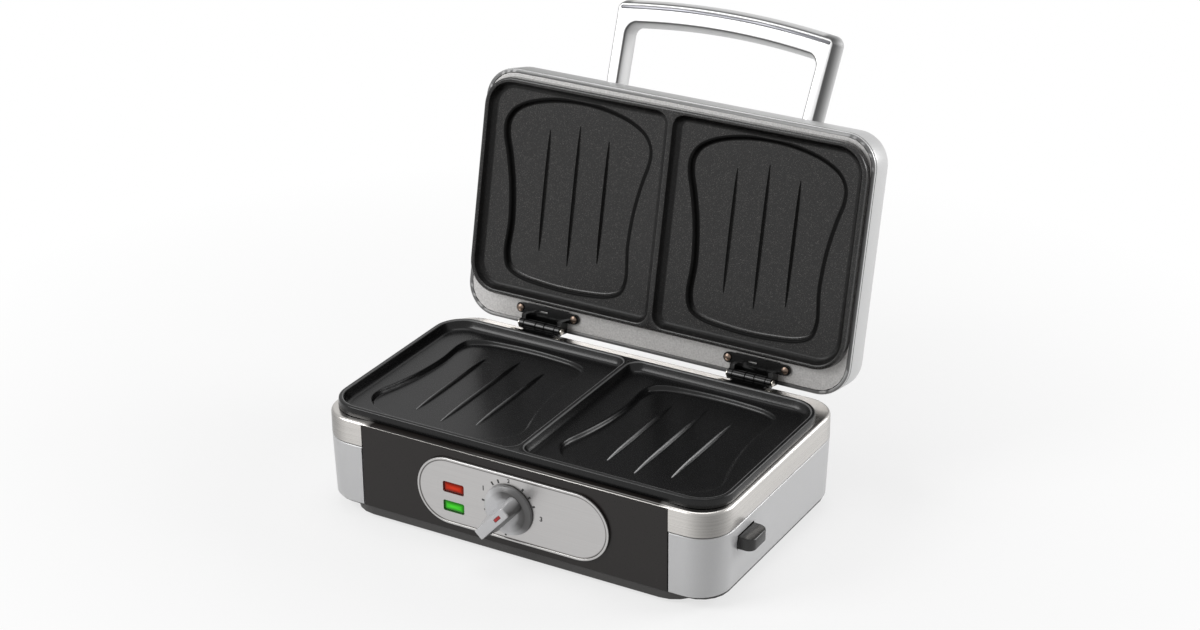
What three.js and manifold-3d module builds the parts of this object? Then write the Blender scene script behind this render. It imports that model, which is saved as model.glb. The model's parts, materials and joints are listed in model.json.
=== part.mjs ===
// Two-slice snack maker: a countertop cooker whose lid stands open on two hinges.
// Millimetres, +X right, -Y front, +Z up, origin at the middle of the tray's underside.

import * as THREE from 'three';
import { mergeVertices } from 'three/addons/utils/BufferGeometryUtils.js';
import Module from 'manifold-3d';

const wasm = await Module();
wasm.setup();

// Clearances shared by every piece
const seatGap = 0.3; // between a piece and what carries it
const fitGap = 0.4; // around a piece that slides or passes through a hole
const overrun = 2; // how far a cutting solid runs past what it cuts
const weld = 0.0001; // vertices closer than this are one
const roundShare = 0.3; // middle point of a rounded edge, in from both faces, as a share of its radius
const circleSides = 18;
const smallSides = 10;
const cornerSteps = 5;

// Base housing
const baseWidth = 290;
const baseDepth = 173.3;
const cornerRadius = 22;
const footHeight = 2;
const shellBottom = 8.5;
const bandBottom = 51;
const bandTop = 67.8;
const sideDraft = 1.8; // how far the end shells lean in at their foot
const shellWall = 2.5;
const sheetWall = 1.2;
const bandEdgeRound = 2.2;
const endShellWidth = 33.8; // silver corner beside the black panels, front and rear
const panelFlange = 7;

// Bottom tray and feet
const traySideInset = 18.5;
const trayFrontInset = 0.8;
const trayWall = 2;
const trayFlange = 1.6;
const plateauInset = 68; // raised middle of the tray's underside, in from its sides
const plateauInsetY = 42;
const plateauDrop = 0.8;
const flangeInset = 3;
const postRadius = 4;
const postInsetX = 22; // post's axis, from the reflector's edges
const postInsetY = 28;
const footRadius = 9;
const footTaper = 1.2;
const footPeg = 2.4;
const footInsetX = 39; // foot's axis, from the base's side
const footInsetY = 18.6;

// Cooking plates, measured from their rim plane into the housing
const plateRise = 6.6; // rim plane above the ledge that carries it
const plateSideInset = 2.5;
const plateFrontInset = 5;
const plateRearInset = 17.2;
const plateRadius = 21.5;
const rimWidth = 3.2;
const rimRound = 1.6;
const dividerWidth = 3.2;
const panDepth = 6;
const panSlope = 2;
const panFillet = 3.2;
const panInnerRadius = 9;
const plateThickness = 2.5;
const ledgeOverlap = 5.5;
const pocketDepth = 3;
const pocketSlope = 2.6;
const pocketMarginX = 11.9; // from the pan's sides to the slice-shaped pocket
const pocketMarginFront = 5.7;
const pocketMarginRear = 8.3;
const pocketOffset = 0.5; // pocket's middle, out from the pan's middle
const ribPitchShare = 0.4; // of the pocket's half width
const ribHeight = 2;
const ribHalfWidth = 1.4;
const ribCrestHalfWidth = 0.5;
const middleRibShare = 0.773; // of the pocket's length
const sideRibShare = 0.674;
const ribCrestSetback = 3;
const ribSteps = 5;
const pocketPoints = 37;
const plateGap = 0.3; // between the two rims with the lid down

// Pocket's wall between its foot and its brim, as shares of its slope and of its depth
const pocketWallShares = [[1, 0], [0.62, 0.2], [0.3, 0.8], [0, 1]];

// Outline of one slice-shaped pocket, from the hinge-side middle to the crown's middle
const pocketOutlineShares = [
  [0, 0], [0.32, 0.006], [0.62, 0.024], [0.78, 0.06], [0.835, 0.13], [0.815, 0.31], [0.85, 0.5],
  [0.925, 0.66], [0.985, 0.755], [0.985, 0.83], [0.9, 0.895], [0.72, 0.945], [0.4, 0.985], [0, 1],
];

// Heating elements and reflectors
const elementRadius = 3.2;
const elementInsetX = 45.5; // its run, in from the plate's edges
const elementInsetY = 21.5;
const elementBend = 16;
const elementEndX = 26;
const elementTail = 7;
const elementTailPlay = 2.2;
const reflectorMargin = 13; // beyond the element's run
const reflectorRadius = 14;
const reflectorSheet = 0.8;
const reflectorWall = 7;
const saddleWidth = 9;
const elementSteps = 46;
const elementSides = 4;

// Plate releases: a side button, a latch slide and a coil spring
const releaseSetback = 38.7; // button's middle, from the base's front
const buttonLength = 21.4;
const buttonHeight = 9.2;
const lowerButtonReach = 10.5; // how far it stands out of the side
const upperButtonReach = 7;
const buttonRound = 5;
const buttonRoundShares = [0.35, 0.3]; // the rounding's middle point, back from the tip and in from the side
const buttonSlope = 1.2;
const buttonFlange = 1.6;
const flangeThickness = 3;
const lowerButtonDrop = 36;
const upperButtonDrop = 18;
const lugInset = 9.9; // lug's outer face, from the plate's edge
const lugThickness = 2;
const lugWidth = 16;
const lugDrop = 16;
const windowWidth = 9;
const windowHeight = 3.2;
const windowDrop = 11.4;
const latchPlay = 1.1;
const latchArm = 3.5;
const latchTop = 1.5; // its foot, above the button's middle
const latchHalfWidth = 7;
const noseReach = 1.4;
const springLength = 10.5;
const springRadius = 2.5;
const springWire = 0.9;
const springTurns = 5;
const springStepsPerTurn = 8;
const springSides = 3;
const shelfThickness = 2;
const catchLength = 14;
const catchReach = 2.5;
const catchThickness = 1.5;
const catchShare = 0.5; // catch's middle, along half the plate's depth

// Control panel
const controlHeight = 36.5; // centre above the table
const controlInset = 41.4; // its end, from the black panel's side
const controlHalfHeight = 23.1;
const controlShift = 1.6; // plate's middle, to the right of the dial's axis
const controlThickness = 1.4;
const controlRimWidth = 1.5;
const controlRimHeight = 0.5;
const lensShare = 0.613; // lens's middle, along half the control plate
const lensWidth = 14.2;
const lensHeight = 6.2;
const lensFrame = 0.7; // dark gap round each lens
const upperLensY = 3.7;
const lowerLensY = -9.75;
const lensLength = 5.2;
const lensRecess = 0.4;
const lensFlange = 1.8;
const lensFlangeThickness = 1.2;
const lampRadius = 2.6;
const lampLength = 11;

// Knob, shaft and thermostat
const knobRadius = 17.5;
const knobDisc = 3.8;
const knobSlope = 3.6; // run of the sloped edge round the disc
const knobHeight = 18.5;
const bladeHeel = 12.3; // its face, from the axis to the rounded end that points
const bladeTail = 17; // and to the square end
const bladeFaceHalfWidth = 3.5;
const bladeDraft = 2.3; // how far its sides spread down to the disc
const bladeHeelDraft = 1.2;
const bladeRound = 0.5;
const bladeFootRound = 4.5;
const bladeWaistShares = [0.3, 0.55]; // height of its sides' hollow, and the draft left there
const markLength = 5.8;
const markWidth = 2;
const markDepth = 0.8;
const markReach = 4.3;
const pointerAngle = THREE.MathUtils.degToRad(47.5);
const shaftRadius = 3;
const knobSocket = 12;
const thermostatWidth = 28;
const thermostatClearance = 4.7; // below the reflector
const thermostatDepth = 15;
const thermostatSetback = 9;
const neckRadius = 4.8;
const bracketShare = 0.468; // half its width, along the way to the lamps
const bracketRise = 1.5; // above the thermostat
const bracketFoot = 12;

// Rear panel fittings
const ventCount = 9;
const ventPitch = 12;
const ventWidth = 3;
const ventHeight = 20;
const ventZ = 40;
const glandInset = 27.2; // from the black panel's side
const glandZ = 24;
const glandRadius = 6;
const glandBore = 3.6;
const glandLip = 2.2;
const glandLipThickness = 2.4;
const terminalLength = 32;
const terminalDepth = 15;
const terminalHeight = 12;
const terminalInsetX = 59.2; // from the black panel's side
const terminalInsetY = 26.6; // from the base's rear

// Lid
const lidWall = 25.6;
const lidDraft = 0.7;
const lidEdgeRound = 5;
const crownRise = 7.8;
const crownInsetShare = 0.577; // of half the depth
const crownRadiusShare = 0.3;
const crownStepShares = [0.4, 0.75, 1];
const linerThickness = 1.2;
const openAngle = THREE.MathUtils.degToRad(102.46);

// Hinges
const hingeInset = 2.85; // pin axis, from the base's rear face
const hingeLift = 4.4; // pin axis, above the ledge
const hingeSideInset = 65; // hinge's middle, from the base's side
const knuckleRadius = 3.6;
const pinRadius = 1.5;
const pinHead = 0.9;
const pinHeadRadius = 2.3;
const leafThickness = 1.5;
const baseLeafHalfWidth = 20;
const baseLeafDepth = 7.6;
const baseLeafFront = 15.2; // its front edge, from the base's rear face
const cheekInner = 12.4;
const knuckleShares = [[-0.952, -0.258], [-0.194, 0.29], [0.355, 0.952]]; // along the way between the cheeks
const cheekThickness = 3.4;
const lidLeafFront = 15.4;
const lidLeafRear = 3.6;
const cheekShare = 0.6; // how far along the leaf its cheeks run
const earX = 21;
const earInset = 11.2;
const earRadius = 3.6;
const leafSlotLength = 7;
const leafSlotWidth = 1;
const screwHeadRadius = 2.6;
const screwHeadHeight = 1.5;
const screwDomeShares = [[1, 0], [0.95, 0.5], [0.6, 0.9], [0, 1]];
const screwShankRadius = 1.3;
const baseScrewX = 17;
const stopHalfWidth = 8; // tongue that the open lid's rim comes to rest against
const stopReach = 8.15;

// Handle, drawn on its underside face, which climbs towards the front
const handleClimb = THREE.MathUtils.degToRad(12.75);
const handleLift = 45.5; // face above the lid's rim plane, over the lid's front edge
const handleSetback = 3.5; // that point, behind the lid's front edge
const handleDepth = 14;
const handleReach = 58.3; // top of the arch
const archDrop = 5.5;
const handleSideInset = 64; // handle's corner, from the lid's side
const legSpread = 0.053; // sideways lean of the legs, as a slope
const legWidth = 8;
const gripWidth = 12.5;
const gripInnerDrop = 4;
const gripShoulder = 17; // from the handle's corner to where its inner edge turns down
const gripInnerRadius = 9;
const handleCornerRadius = 3;
const legRoot = 82;
const handleFlare = 3; // how far its sides swell towards its back
const handleFlareShares = [[0, -0.17], [0.057, 0.067], [0.36, 0.57], [0.71, 1], [0.9, 0.97], [1, 0.43]];
const handleCornerShares = [0.15, 0.6]; // the corner's middle point, in from the side and up from its foot
const gripCornerShares = [0.35, 0.7];
const archSteps = 6;
const gripSteps = 3;
const inlaySteps = 10;
const inlaySetback = 3.5; // strip's end, from the handle's corner
const inlayHalfWidth = 1.1;
const inlayDepth = 0.9;
const inlayMargin = 2.9;
const handleScrewSetback = 67; // along the leg, behind the point over the front edge
const handleScrewBore = 7;

// Sizes that follow from the ones above
const halfWidth = baseWidth / 2;
const halfDepth = baseDepth / 2;
const plateHalfX = halfWidth - plateSideInset;
const plateHalfY = (baseDepth - plateFrontInset - plateRearInset) / 2;
const plateY = (plateFrontInset - plateRearInset) / 2;
const lowerRim = bandTop + plateRise;
const upperRim = lowerRim + plateGap;
const lidRim = upperRim + plateRise;
const hingeY = halfDepth - hingeInset;
const hingeZ = bandTop + hingeLift;
const panelWidth = baseWidth - 2 * endShellWidth;
const ledgeTop = -plateRise;
const panHalfX = (plateHalfX - rimWidth - dividerWidth / 2) / 2;
const panX = dividerWidth / 2 + panHalfX;
const panHalfY = plateHalfY - rimWidth;
const pocketX = panX + pocketOffset;
const pocketHalfWidth = panHalfX - pocketMarginX;
const pocketFront = plateY - panHalfY + pocketMarginFront;
const pocketRear = plateY + panHalfY - pocketMarginRear;
const pocketLength = pocketRear - pocketFront;
const elementHalfX = plateHalfX - elementInsetX;
const elementHalfY = plateHalfY - elementInsetY;
const reflectorHalfX = elementHalfX + reflectorMargin;
const reflectorHalfY = elementHalfY + reflectorMargin;
const postX = reflectorHalfX - postInsetX;
const postY = reflectorHalfY - postInsetY;
const footX = halfWidth - footInsetX;
const footY = halfDepth - footInsetY;
const releaseY = -halfDepth + releaseSetback;
const controlHalfLength = panelWidth / 2 - controlInset;
const lensX = controlShift - lensShare * controlHalfLength;
const glandX = panelWidth / 2 - glandInset;
const bracketWidth = -2 * bracketShare * lensX;
const terminalX = panelWidth / 2 - terminalInsetX;
const terminalY = halfDepth - terminalInsetY;
const crownInset = crownInsetShare * halfDepth;
const crownRadius = crownRadiusShare * halfDepth;
const hingeX = halfWidth - hingeSideInset;
const handleHalfWidth = halfWidth - handleSideInset;
const gripInnerHalf = handleHalfWidth - gripShoulder;
const inlayHalfLength = handleHalfWidth - inlaySetback;
const elementZ = -(panDepth + pocketDepth + plateThickness + seatGap + elementRadius);
const reflectorTop = elementZ - elementRadius - 2 * seatGap - elementRadius / 2;
const lugOuter = plateHalfX - lugInset;
const lugInner = lugOuter - lugThickness;
const latchFace = lugInner - latchPlay;
const reflectorBack = lowerRim + reflectorTop - reflectorSheet;
const thermostatHalfHeight = reflectorBack - controlHeight - thermostatClearance;
const bracketTop = controlHeight + thermostatHalfHeight + bracketRise;
const releaseFloor = buttonHeight / 2 + buttonFlange + fitGap; // shelf, below the button's middle
const panelFront = halfDepth;
const panelTop = bandTop - sheetWall - seatGap;
const trayTop = shellBottom - seatGap;
const trayUnderside = footHeight + plateauDrop;
const trayFloor = trayUnderside + trayWall;
const crownTop = lidRim + lidWall + crownRise;

// Solids, joins and cuts
function toSolid(geometry) {
  const bare = geometry.clone();
  bare.deleteAttribute('normal');
  bare.deleteAttribute('uv');
  const merged = mergeVertices(bare, weld);
  return new wasm.Manifold(new wasm.Mesh({
    numProp: 3,
    vertProperties: merged.attributes.position.array,
    triVerts: new Uint32Array(merged.index.array),
  }));
}

function toGeometry(solid) {
  const mesh = solid.getMesh();
  const geometry = new THREE.BufferGeometry();
  geometry.setAttribute('position', new THREE.BufferAttribute(mesh.vertProperties, 3));
  geometry.setIndex(new THREE.BufferAttribute(mesh.triVerts, 1));
  geometry.computeVertexNormals();
  return geometry;
}

function join(first, ...others) {
  return others.reduce((sum, next) => sum.add(next), first);
}

function cut(first, ...tools) {
  return tools.reduce((rest, tool) => rest.subtract(tool), first);
}

function placed(geometry, { x = 0, y = 0, z = 0, turnX = 0, turnY = 0, turnZ = 0 }) {
  const turned = geometry.clone();
  turned.applyMatrix4(new THREE.Matrix4().makeRotationFromEuler(new THREE.Euler(turnX, turnY, turnZ)));
  turned.translate(x, y, z);
  return turned;
}

function box([x0, x1], [y0, y1], [z0, z1]) {
  const geometry = new THREE.BoxGeometry(x1 - x0, y1 - y0, z1 - z0);
  geometry.translate((x0 + x1) / 2, (y0 + y1) / 2, (z0 + z1) / 2);
  return toSolid(geometry);
}

// A round bar from one x to another
function barX([x0, x1], y, z, radius, sides = circleSides) {
  const geometry = new THREE.CylinderGeometry(radius, radius, x1 - x0, sides);
  return toSolid(placed(geometry, { x: (x0 + x1) / 2, y, z, turnZ: Math.PI / 2 }));
}

function barY(x, [y0, y1], z, radius, sides = circleSides) {
  const geometry = new THREE.CylinderGeometry(radius, radius, y1 - y0, sides);
  return toSolid(placed(geometry, { x, y: (y0 + y1) / 2, z }));
}

function barZ(x, y, [z0, z1], radius, sides = circleSides) {
  const geometry = new THREE.CylinderGeometry(radius, radius, z1 - z0, sides);
  return toSolid(placed(geometry, { x, y, z: (z0 + z1) / 2, turnX: Math.PI / 2 }));
}

// Rounded rectangle, counter-clockwise; radii run front left, front right, rear right, rear left
function roundedRing(halfX, halfY, radii, centreY = 0, centreX = 0) {
  const corners = [[-1, -1], [1, -1], [1, 1], [-1, 1]];
  const ring = [];
  corners.forEach(([sx, sy], corner) => {
    const radius = radii[corner];
    for (let step = 0; step <= cornerSteps; step++) {
      const angle = Math.PI + (corner + step / cornerSteps) * Math.PI / 2;
      ring.push(new THREE.Vector2(
        centreX + sx * (halfX - radius) + radius * Math.cos(angle),
        centreY + sy * (halfY - radius) + radius * Math.sin(angle),
      ));
    }
  });
  return ring;
}

function evenRing(halfX, halfY, radius, centreY = 0, centreX = 0) {
  return roundedRing(halfX, halfY, [radius, radius, radius, radius], centreY, centreX);
}

// Moves every point of a closed outline out along the mean of its two edge normals
function offsetRing(ring, distance) {
  return ring.map((point, index) => {
    const before = ring[(index + ring.length - 1) % ring.length];
    const after = ring[(index + 1) % ring.length];
    const inEdge = point.clone().sub(before).normalize();
    const outEdge = after.clone().sub(point).normalize();
    const normal = new THREE.Vector2(inEdge.y + outEdge.y, -inEdge.x - outEdge.x).normalize();
    const spread = normal.x * inEdge.y - normal.y * inEdge.x;
    return point.clone().addScaledVector(normal, distance / spread);
  });
}

// Skins rings of equal length, lowest first, and caps both ends
function loft(levels) {
  const count = levels[0].ring.length;
  const positions = levels.flatMap(({ ring, z }) => ring.flatMap((point) => [point.x, point.y, z]));
  const faces = [];
  for (let level = 0; level + 1 < levels.length; level++) {
    for (let index = 0; index < count; index++) {
      const a = level * count + index;
      const b = level * count + (index + 1) % count;
      faces.push(a, b, b + count, a, b + count, a + count);
    }
  }
  const last = (levels.length - 1) * count;
  for (const [a, b, c] of THREE.ShapeUtils.triangulateShape(levels[0].ring, [])) {
    faces.push(c, b, a);
  }
  for (const [a, b, c] of THREE.ShapeUtils.triangulateShape(levels[levels.length - 1].ring, [])) {
    faces.push(last + a, last + b, last + c);
  }
  const geometry = new THREE.BufferGeometry();
  geometry.setAttribute('position', new THREE.Float32BufferAttribute(positions, 3));
  geometry.setIndex(faces);
  return geometry;
}

function prism(ring, [z0, z1]) {
  return toSolid(loft([{ ring, z: z0 }, { ring, z: z1 }]));
}

function revolve(profile, sides = circleSides) {
  const points = profile.map(([radius, height]) => new THREE.Vector2(radius, height));
  return placed(new THREE.LatheGeometry(points, sides), { turnX: Math.PI / 2 });
}

// Materials
function finish(color, roughness, metalness) {
  return { color, roughness, metalness };
}

const silverPaint = finish(0xd9d9d7, 0.32, 0.35);
const brushedSteel = finish(0xb9b4ae, 0.36, 0.9);
const blackPlastic = finish(0x2c2a29, 0.5, 0);
const nonStick = finish(0x302f30, 0.55, 0.1);
const linerPaint = finish(0xb4b3b1, 0.6, 0.2);
const zincBlack = finish(0x141414, 0.25, 0.6);
const brightSteel = finish(0xb0aaa2, 0.25, 1);
const elementSteel = finish(0x6a6661, 0.5, 0.8);
const reflectorSteel = finish(0xa8a8a6, 0.3, 0.9);
const knobPlastic = finish(0x9a9a9c, 0.4, 0.2);
const blackRubber = finish(0x1c1c1c, 0.85, 0);
const redLens = finish(0xd8301c, 0.2, 0);
const greenLens = finish(0x35c822, 0.2, 0);
const redMark = finish(0xb01218, 0.5, 0);
const lampGlass = finish(0xf0d8b8, 0.1, 0);
const palePhenolic = finish(0xd8d2c4, 0.6, 0);

function piece(name, solid, look, place = {}) {
  const geometry = solid.isBufferGeometry ? solid : toGeometry(solid);
  const mesh = new THREE.Mesh(geometry, new THREE.MeshStandardMaterial(look));
  mesh.name = name;
  mesh.position.set(place.x ?? 0, place.y ?? 0, place.z ?? 0);
  mesh.rotation.set(place.turnX ?? 0, place.turnY ?? 0, place.turnZ ?? 0);
  return mesh;
}

function groupOf(pieces, place = {}) {
  const group = new THREE.Group();
  group.add(...pieces);
  group.position.set(place.x ?? 0, place.y ?? 0, place.z ?? 0);
  group.rotation.set(place.turnX ?? 0, place.turnY ?? 0, place.turnZ ?? 0);
  return group;
}

// Opening in the ledge and in the lid's liner that a cooking plate drops into
function plateOpening(span) {
  const ring = evenRing(
    plateHalfX - ledgeOverlap, plateHalfY - ledgeOverlap, plateRadius - ledgeOverlap, plateY,
  );
  return prism(ring, span);
}

// One half of the slice outline, mirrored and smoothed into a closed ring of points
function pocketRing(centreX) {
  const half = pocketOutlineShares.map(([across, along]) => [
    across * pocketHalfWidth, pocketRear - along * pocketLength,
  ]);
  const other = half.slice(1, -1).reverse().map(([x, y]) => [-x, y]);
  const points = [...half, ...other].map(([x, y]) => new THREE.Vector3(centreX - x, y, 0));
  const curve = new THREE.CatmullRomCurve3(points, true, 'centripetal');
  const spaced = curve.getSpacedPoints(pocketPoints + 1).slice(0, -1);
  return spaced.map((point) => new THREE.Vector2(point.x, point.y));
}

// Long thin lens shape of a browning rib
function ribRing(centreX, centreY, halfLength, halfAcross) {
  const ring = [];
  for (let step = 0; step < 2 * ribSteps; step++) {
    const angle = step / ribSteps * Math.PI;
    const across = Math.sin(angle) * Math.abs(Math.sin(angle));
    ring.push(new THREE.Vector2(centreX + halfAcross * across, centreY - halfLength * Math.cos(angle)));
  }
  return ring;
}

// Cast plate with a raised rim, two dished pans either side of a divider and a slice-shaped
// pocket with three ribs in each; built from its rim plane (z = 0) downwards
function cookingPlate() {
  const outline = (inset) => evenRing(
    plateHalfX - inset, plateHalfY - inset, plateRadius - inset, plateY,
  );
  const skirtFoot = ledgeTop + seatGap;
  const rim = toSolid(loft([
    { ring: outline(0), z: skirtFoot },
    { ring: outline(rimRound / 4), z: -rimRound },
    { ring: outline(rimRound / 2), z: -rimRound / 3 },
    { ring: outline(rimRound), z: 0 },
  ]));
  const floorInset = ledgeOverlap + fitGap;
  const floor = prism(outline(floorInset), [-panDepth - plateThickness, -panDepth + plateThickness]);
  let plate = rim.add(floor);

  for (const side of [-1, 1]) {
    const panRing = (inset) => {
      const outer = plateRadius - rimWidth - inset;
      const inner = Math.max(panInnerRadius - inset, panInnerRadius / 3);
      const radii = side > 0 ? [inner, outer, outer, inner] : [outer, inner, inner, outer];
      return roundedRing(panHalfX - inset, panHalfY - inset, radii, plateY, side * panX);
    };
    const pan = toSolid(loft([
      { ring: panRing(panSlope + panFillet), z: -panDepth },
      { ring: panRing(panSlope + panFillet / 4), z: -panDepth + panFillet / 4 },
      { ring: panRing(panSlope), z: -panDepth + panFillet },
      { ring: panRing(rimRound / 4), z: -rimRound / 2 },
      { ring: panRing(0), z: 0 },
      { ring: panRing(0), z: overrun },
    ]));
    const outerRing = pocketRing(side * pocketX);
    const pocketFloor = -panDepth - pocketDepth;
    const swell = toSolid(loft([
      { ring: offsetRing(outerRing, 0), z: pocketFloor - plateThickness },
      { ring: offsetRing(outerRing, plateThickness / 2), z: pocketFloor - plateThickness / 2 },
      { ring: offsetRing(outerRing, plateThickness), z: -panDepth - plateThickness / 2 },
    ]));
    const pocketWall = pocketWallShares.map(([inShare, riseShare]) => ({
      ring: offsetRing(outerRing, -pocketSlope * inShare), z: pocketFloor + pocketDepth * riseShare,
    }));
    const pocket = toSolid(loft([...pocketWall, { ring: outerRing, z: -panDepth + panFillet / 4 }]));
    plate = cut(plate.add(swell), pan, pocket);
    const ribY = (pocketFront + pocketRear) / 2;
    for (const rib of [-1, 0, 1]) {
      const halfLength = (rib === 0 ? middleRibShare : sideRibShare) * pocketLength / 2;
      const x = side * pocketX + rib * ribPitchShare * pocketHalfWidth;
      const foot = ribRing(x, ribY, halfLength, ribHalfWidth);
      const crest = ribRing(x, ribY, halfLength - ribCrestSetback, ribCrestHalfWidth);
      plate = plate.add(toSolid(loft([
        { ring: foot, z: pocketFloor - plateThickness / 2 },
        { ring: foot, z: pocketFloor },
        { ring: crest, z: pocketFloor + ribHeight },
      ])));
    }
  }

  const lug = box(
    [lugInner, lugOuter],
    [releaseY - lugWidth / 2, releaseY + lugWidth / 2],
    [-lugDrop, -panDepth - plateThickness / 2],
  );
  const lugWindow = box(
    [lugInner - overrun, lugOuter + overrun],
    [releaseY - windowWidth / 2, releaseY + windowWidth / 2],
    [-windowDrop - windowHeight, -windowDrop],
  );
  plate = cut(plate.add(lug), lugWindow);
  const catchTop = ledgeTop - sheetWall - seatGap;
  for (const y of [-catchShare * plateHalfY, catchShare * plateHalfY]) {
    plate = plate.add(box(
      [-plateHalfX + ledgeOverlap - catchReach, -plateHalfX + ledgeOverlap + 2 * catchReach],
      [plateY + y - catchLength / 2, plateY + y + catchLength / 2],
      [catchTop - catchThickness, catchTop],
    ));
  }
  return plate;
}

// Sheathed tube that runs round under both pockets, its two ends turned down side by side
function heatingElement() {
  const path = new THREE.CurvePath();
  const y0 = plateY - elementHalfY;
  const y1 = plateY + elementHalfY;
  const at = (x, y, drop = 0) => new THREE.Vector3(x, y, elementZ - drop);
  const stops = [
    [at(elementEndX, y1, elementTail), at(elementEndX, y1), at(elementEndX + elementTail, y1)],
    [at(elementHalfX - elementBend, y1), at(elementHalfX, y1), at(elementHalfX, y1 - elementBend)],
    [at(elementHalfX, y0 + elementBend), at(elementHalfX, y0), at(elementHalfX - elementBend, y0)],
    [at(elementBend - elementHalfX, y0), at(-elementHalfX, y0), at(-elementHalfX, y0 + elementBend)],
    [at(-elementHalfX, y1 - elementBend), at(-elementHalfX, y1), at(elementBend - elementHalfX, y1)],
    [at(-elementEndX - elementTail, y1), at(-elementEndX, y1), at(-elementEndX, y1, elementTail)],
  ];
  stops.forEach(([from, corner, to], index) => {
    if (index > 0) path.add(new THREE.LineCurve3(stops[index - 1][2], from));
    path.add(new THREE.QuadraticBezierCurve3(from, corner, to));
  });
  const section = new THREE.Shape();
  section.absarc(0, 0, elementRadius, 0, 2 * Math.PI);
  return toSolid(new THREE.ExtrudeGeometry(section, {
    steps: elementSteps, curveSegments: elementSides, extrudePath: path, bevelEnabled: false,
  }));
}

// Pressed sheet pan behind the element, with saddles that the element lies on
function reflector() {
  const outer = (inset) => evenRing(
    reflectorHalfX - inset, reflectorHalfY - inset, reflectorRadius - inset, plateY,
  );
  const bottom = reflectorTop - reflectorSheet;
  const brim = bottom + reflectorWall;
  const shell = toSolid(loft([
    { ring: outer(reflectorWall / 2), z: bottom },
    { ring: outer(0), z: brim },
  ]));
  const hollow = toSolid(loft([
    { ring: outer(reflectorWall / 2 + reflectorSheet), z: reflectorTop },
    { ring: outer(reflectorSheet), z: brim + weld },
  ]));
  const saddleTop = elementZ - elementRadius - seatGap;
  let pan = shell.subtract(hollow);
  for (const x of [-elementHalfX / 2, elementHalfX / 2]) {
    for (const y of [-elementHalfY, elementHalfY]) {
      pan = pan.add(box(
        [x - saddleWidth / 2, x + saddleWidth / 2],
        [plateY + y - elementRadius, plateY + y + elementRadius],
        [reflectorTop - reflectorSheet / 2, saddleTop],
      ));
    }
  }
  const tails = [-elementEndX, elementEndX].map((x) => barZ(
    x, plateY + elementHalfY, [bottom - overrun, brim], elementRadius + elementTailPlay, smallSides,
  ));
  return cut(pan, ...tails);
}

// Coil spring wound along X from one x to another
function coilSpring([x0, x1], y, z) {
  const runs = springTurns * springStepsPerTurn;
  const points = [];
  for (let run = 0; run <= runs; run++) {
    const turn = run / springStepsPerTurn * 2 * Math.PI;
    const x = x0 + springWire / 2 + (x1 - x0 - springWire) * run / runs;
    points.push(new THREE.Vector3(
      x, y + springRadius * Math.cos(turn), z + springRadius * Math.sin(turn),
    ));
  }
  const wire = new THREE.Shape();
  wire.absarc(0, 0, springWire / 2, 0, 2 * Math.PI);
  return toSolid(new THREE.ExtrudeGeometry(wire, {
    steps: runs,
    curveSegments: springSides,
    extrudePath: new THREE.CatmullRomCurve3(points),
    bevelEnabled: false,
  }));
}

// The ledge inside the housing's side that the latch slides on, with the wall its spring pushes on
function latchShelf(drop, wallX) {
  const floor = -drop - releaseFloor;
  const back = latchFace - latchArm - springLength - 2 * seatGap;
  const shelf = box(
    [back - shelfThickness, wallX],
    [releaseY - latchHalfWidth - shelfThickness, releaseY + latchHalfWidth + shelfThickness],
    [floor - shelfThickness, floor],
  );
  const stop = box(
    [back - shelfThickness, back],
    [releaseY - latchHalfWidth, releaseY + latchHalfWidth],
    [floor - shelfThickness / 2, -drop + latchTop],
  );
  return shelf.add(stop);
}

function buttonHole(drop, wallX) {
  return box(
    [wallX - shellWall - overrun, wallX + overrun],
    [releaseY - buttonLength / 2 - fitGap, releaseY + buttonLength / 2 + fitGap],
    [-drop - buttonHeight / 2 - fitGap, -drop + buttonHeight / 2 + fitGap],
  );
}

// Button that stands out of the side, rounded in plan and sloped on top
function releaseButton(drop, wallX, reach) {
  const flangeFace = wallX - shellWall - 2 * fitGap;
  const tip = wallX + reach;
  const [backShare, inShare] = buttonRoundShares;
  const half = [
    [flangeFace - flangeThickness, buttonLength / 2],
    [tip - buttonRound, buttonLength / 2],
    [tip - buttonRound * backShare, buttonLength / 2 - buttonRound * inShare],
    [tip, buttonLength / 2 - buttonRound],
  ];
  const plan = [...half.map(([x, y]) => [x, -y]), ...half.reverse()]
    .map(([x, y]) => new THREE.Vector2(x, y + releaseY));
  const body = prism(plan, [-drop - buttonHeight / 2, -drop + buttonHeight / 2]);
  const slope = toSolid(placed(
    new THREE.BoxGeometry(4 * reach, 2 * buttonLength, buttonHeight),
    {
      x: wallX + 2 * reach,
      y: releaseY,
      z: -drop + buttonHeight,
      turnY: Math.atan2(buttonSlope, reach),
    },
  ));
  const flange = box(
    [flangeFace - flangeThickness, flangeFace],
    [releaseY - buttonLength / 2 - buttonFlange, releaseY + buttonLength / 2 + buttonFlange],
    [-drop - buttonHeight / 2 - buttonFlange, -drop + buttonHeight / 2 + buttonFlange],
  );
  return body.subtract(slope).add(flange);
}

// Slide behind the button; its arm rises to the plate and its nose goes through the lug's window
function latchSlide(drop, wallX) {
  const outer = wallX - shellWall - 2 * fitGap - flangeThickness - seatGap;
  const foot = box(
    [latchFace - latchArm, outer],
    [releaseY - latchHalfWidth, releaseY + latchHalfWidth],
    [-drop - releaseFloor + seatGap, -drop + latchTop],
  );
  const arm = box(
    [latchFace - latchArm, latchFace],
    [releaseY - latchHalfWidth, releaseY + latchHalfWidth],
    [-drop, -windowDrop - fitGap],
  );
  const noseTop = -windowDrop - fitGap;
  const nose = box(
    [latchFace - latchArm / 2, lugOuter + noseReach],
    [releaseY - windowWidth / 2 + fitGap, releaseY + windowWidth / 2 - fitGap],
    [noseTop - windowHeight + 2 * fitGap, noseTop],
  );
  return join(foot, arm, nose);
}

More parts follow.
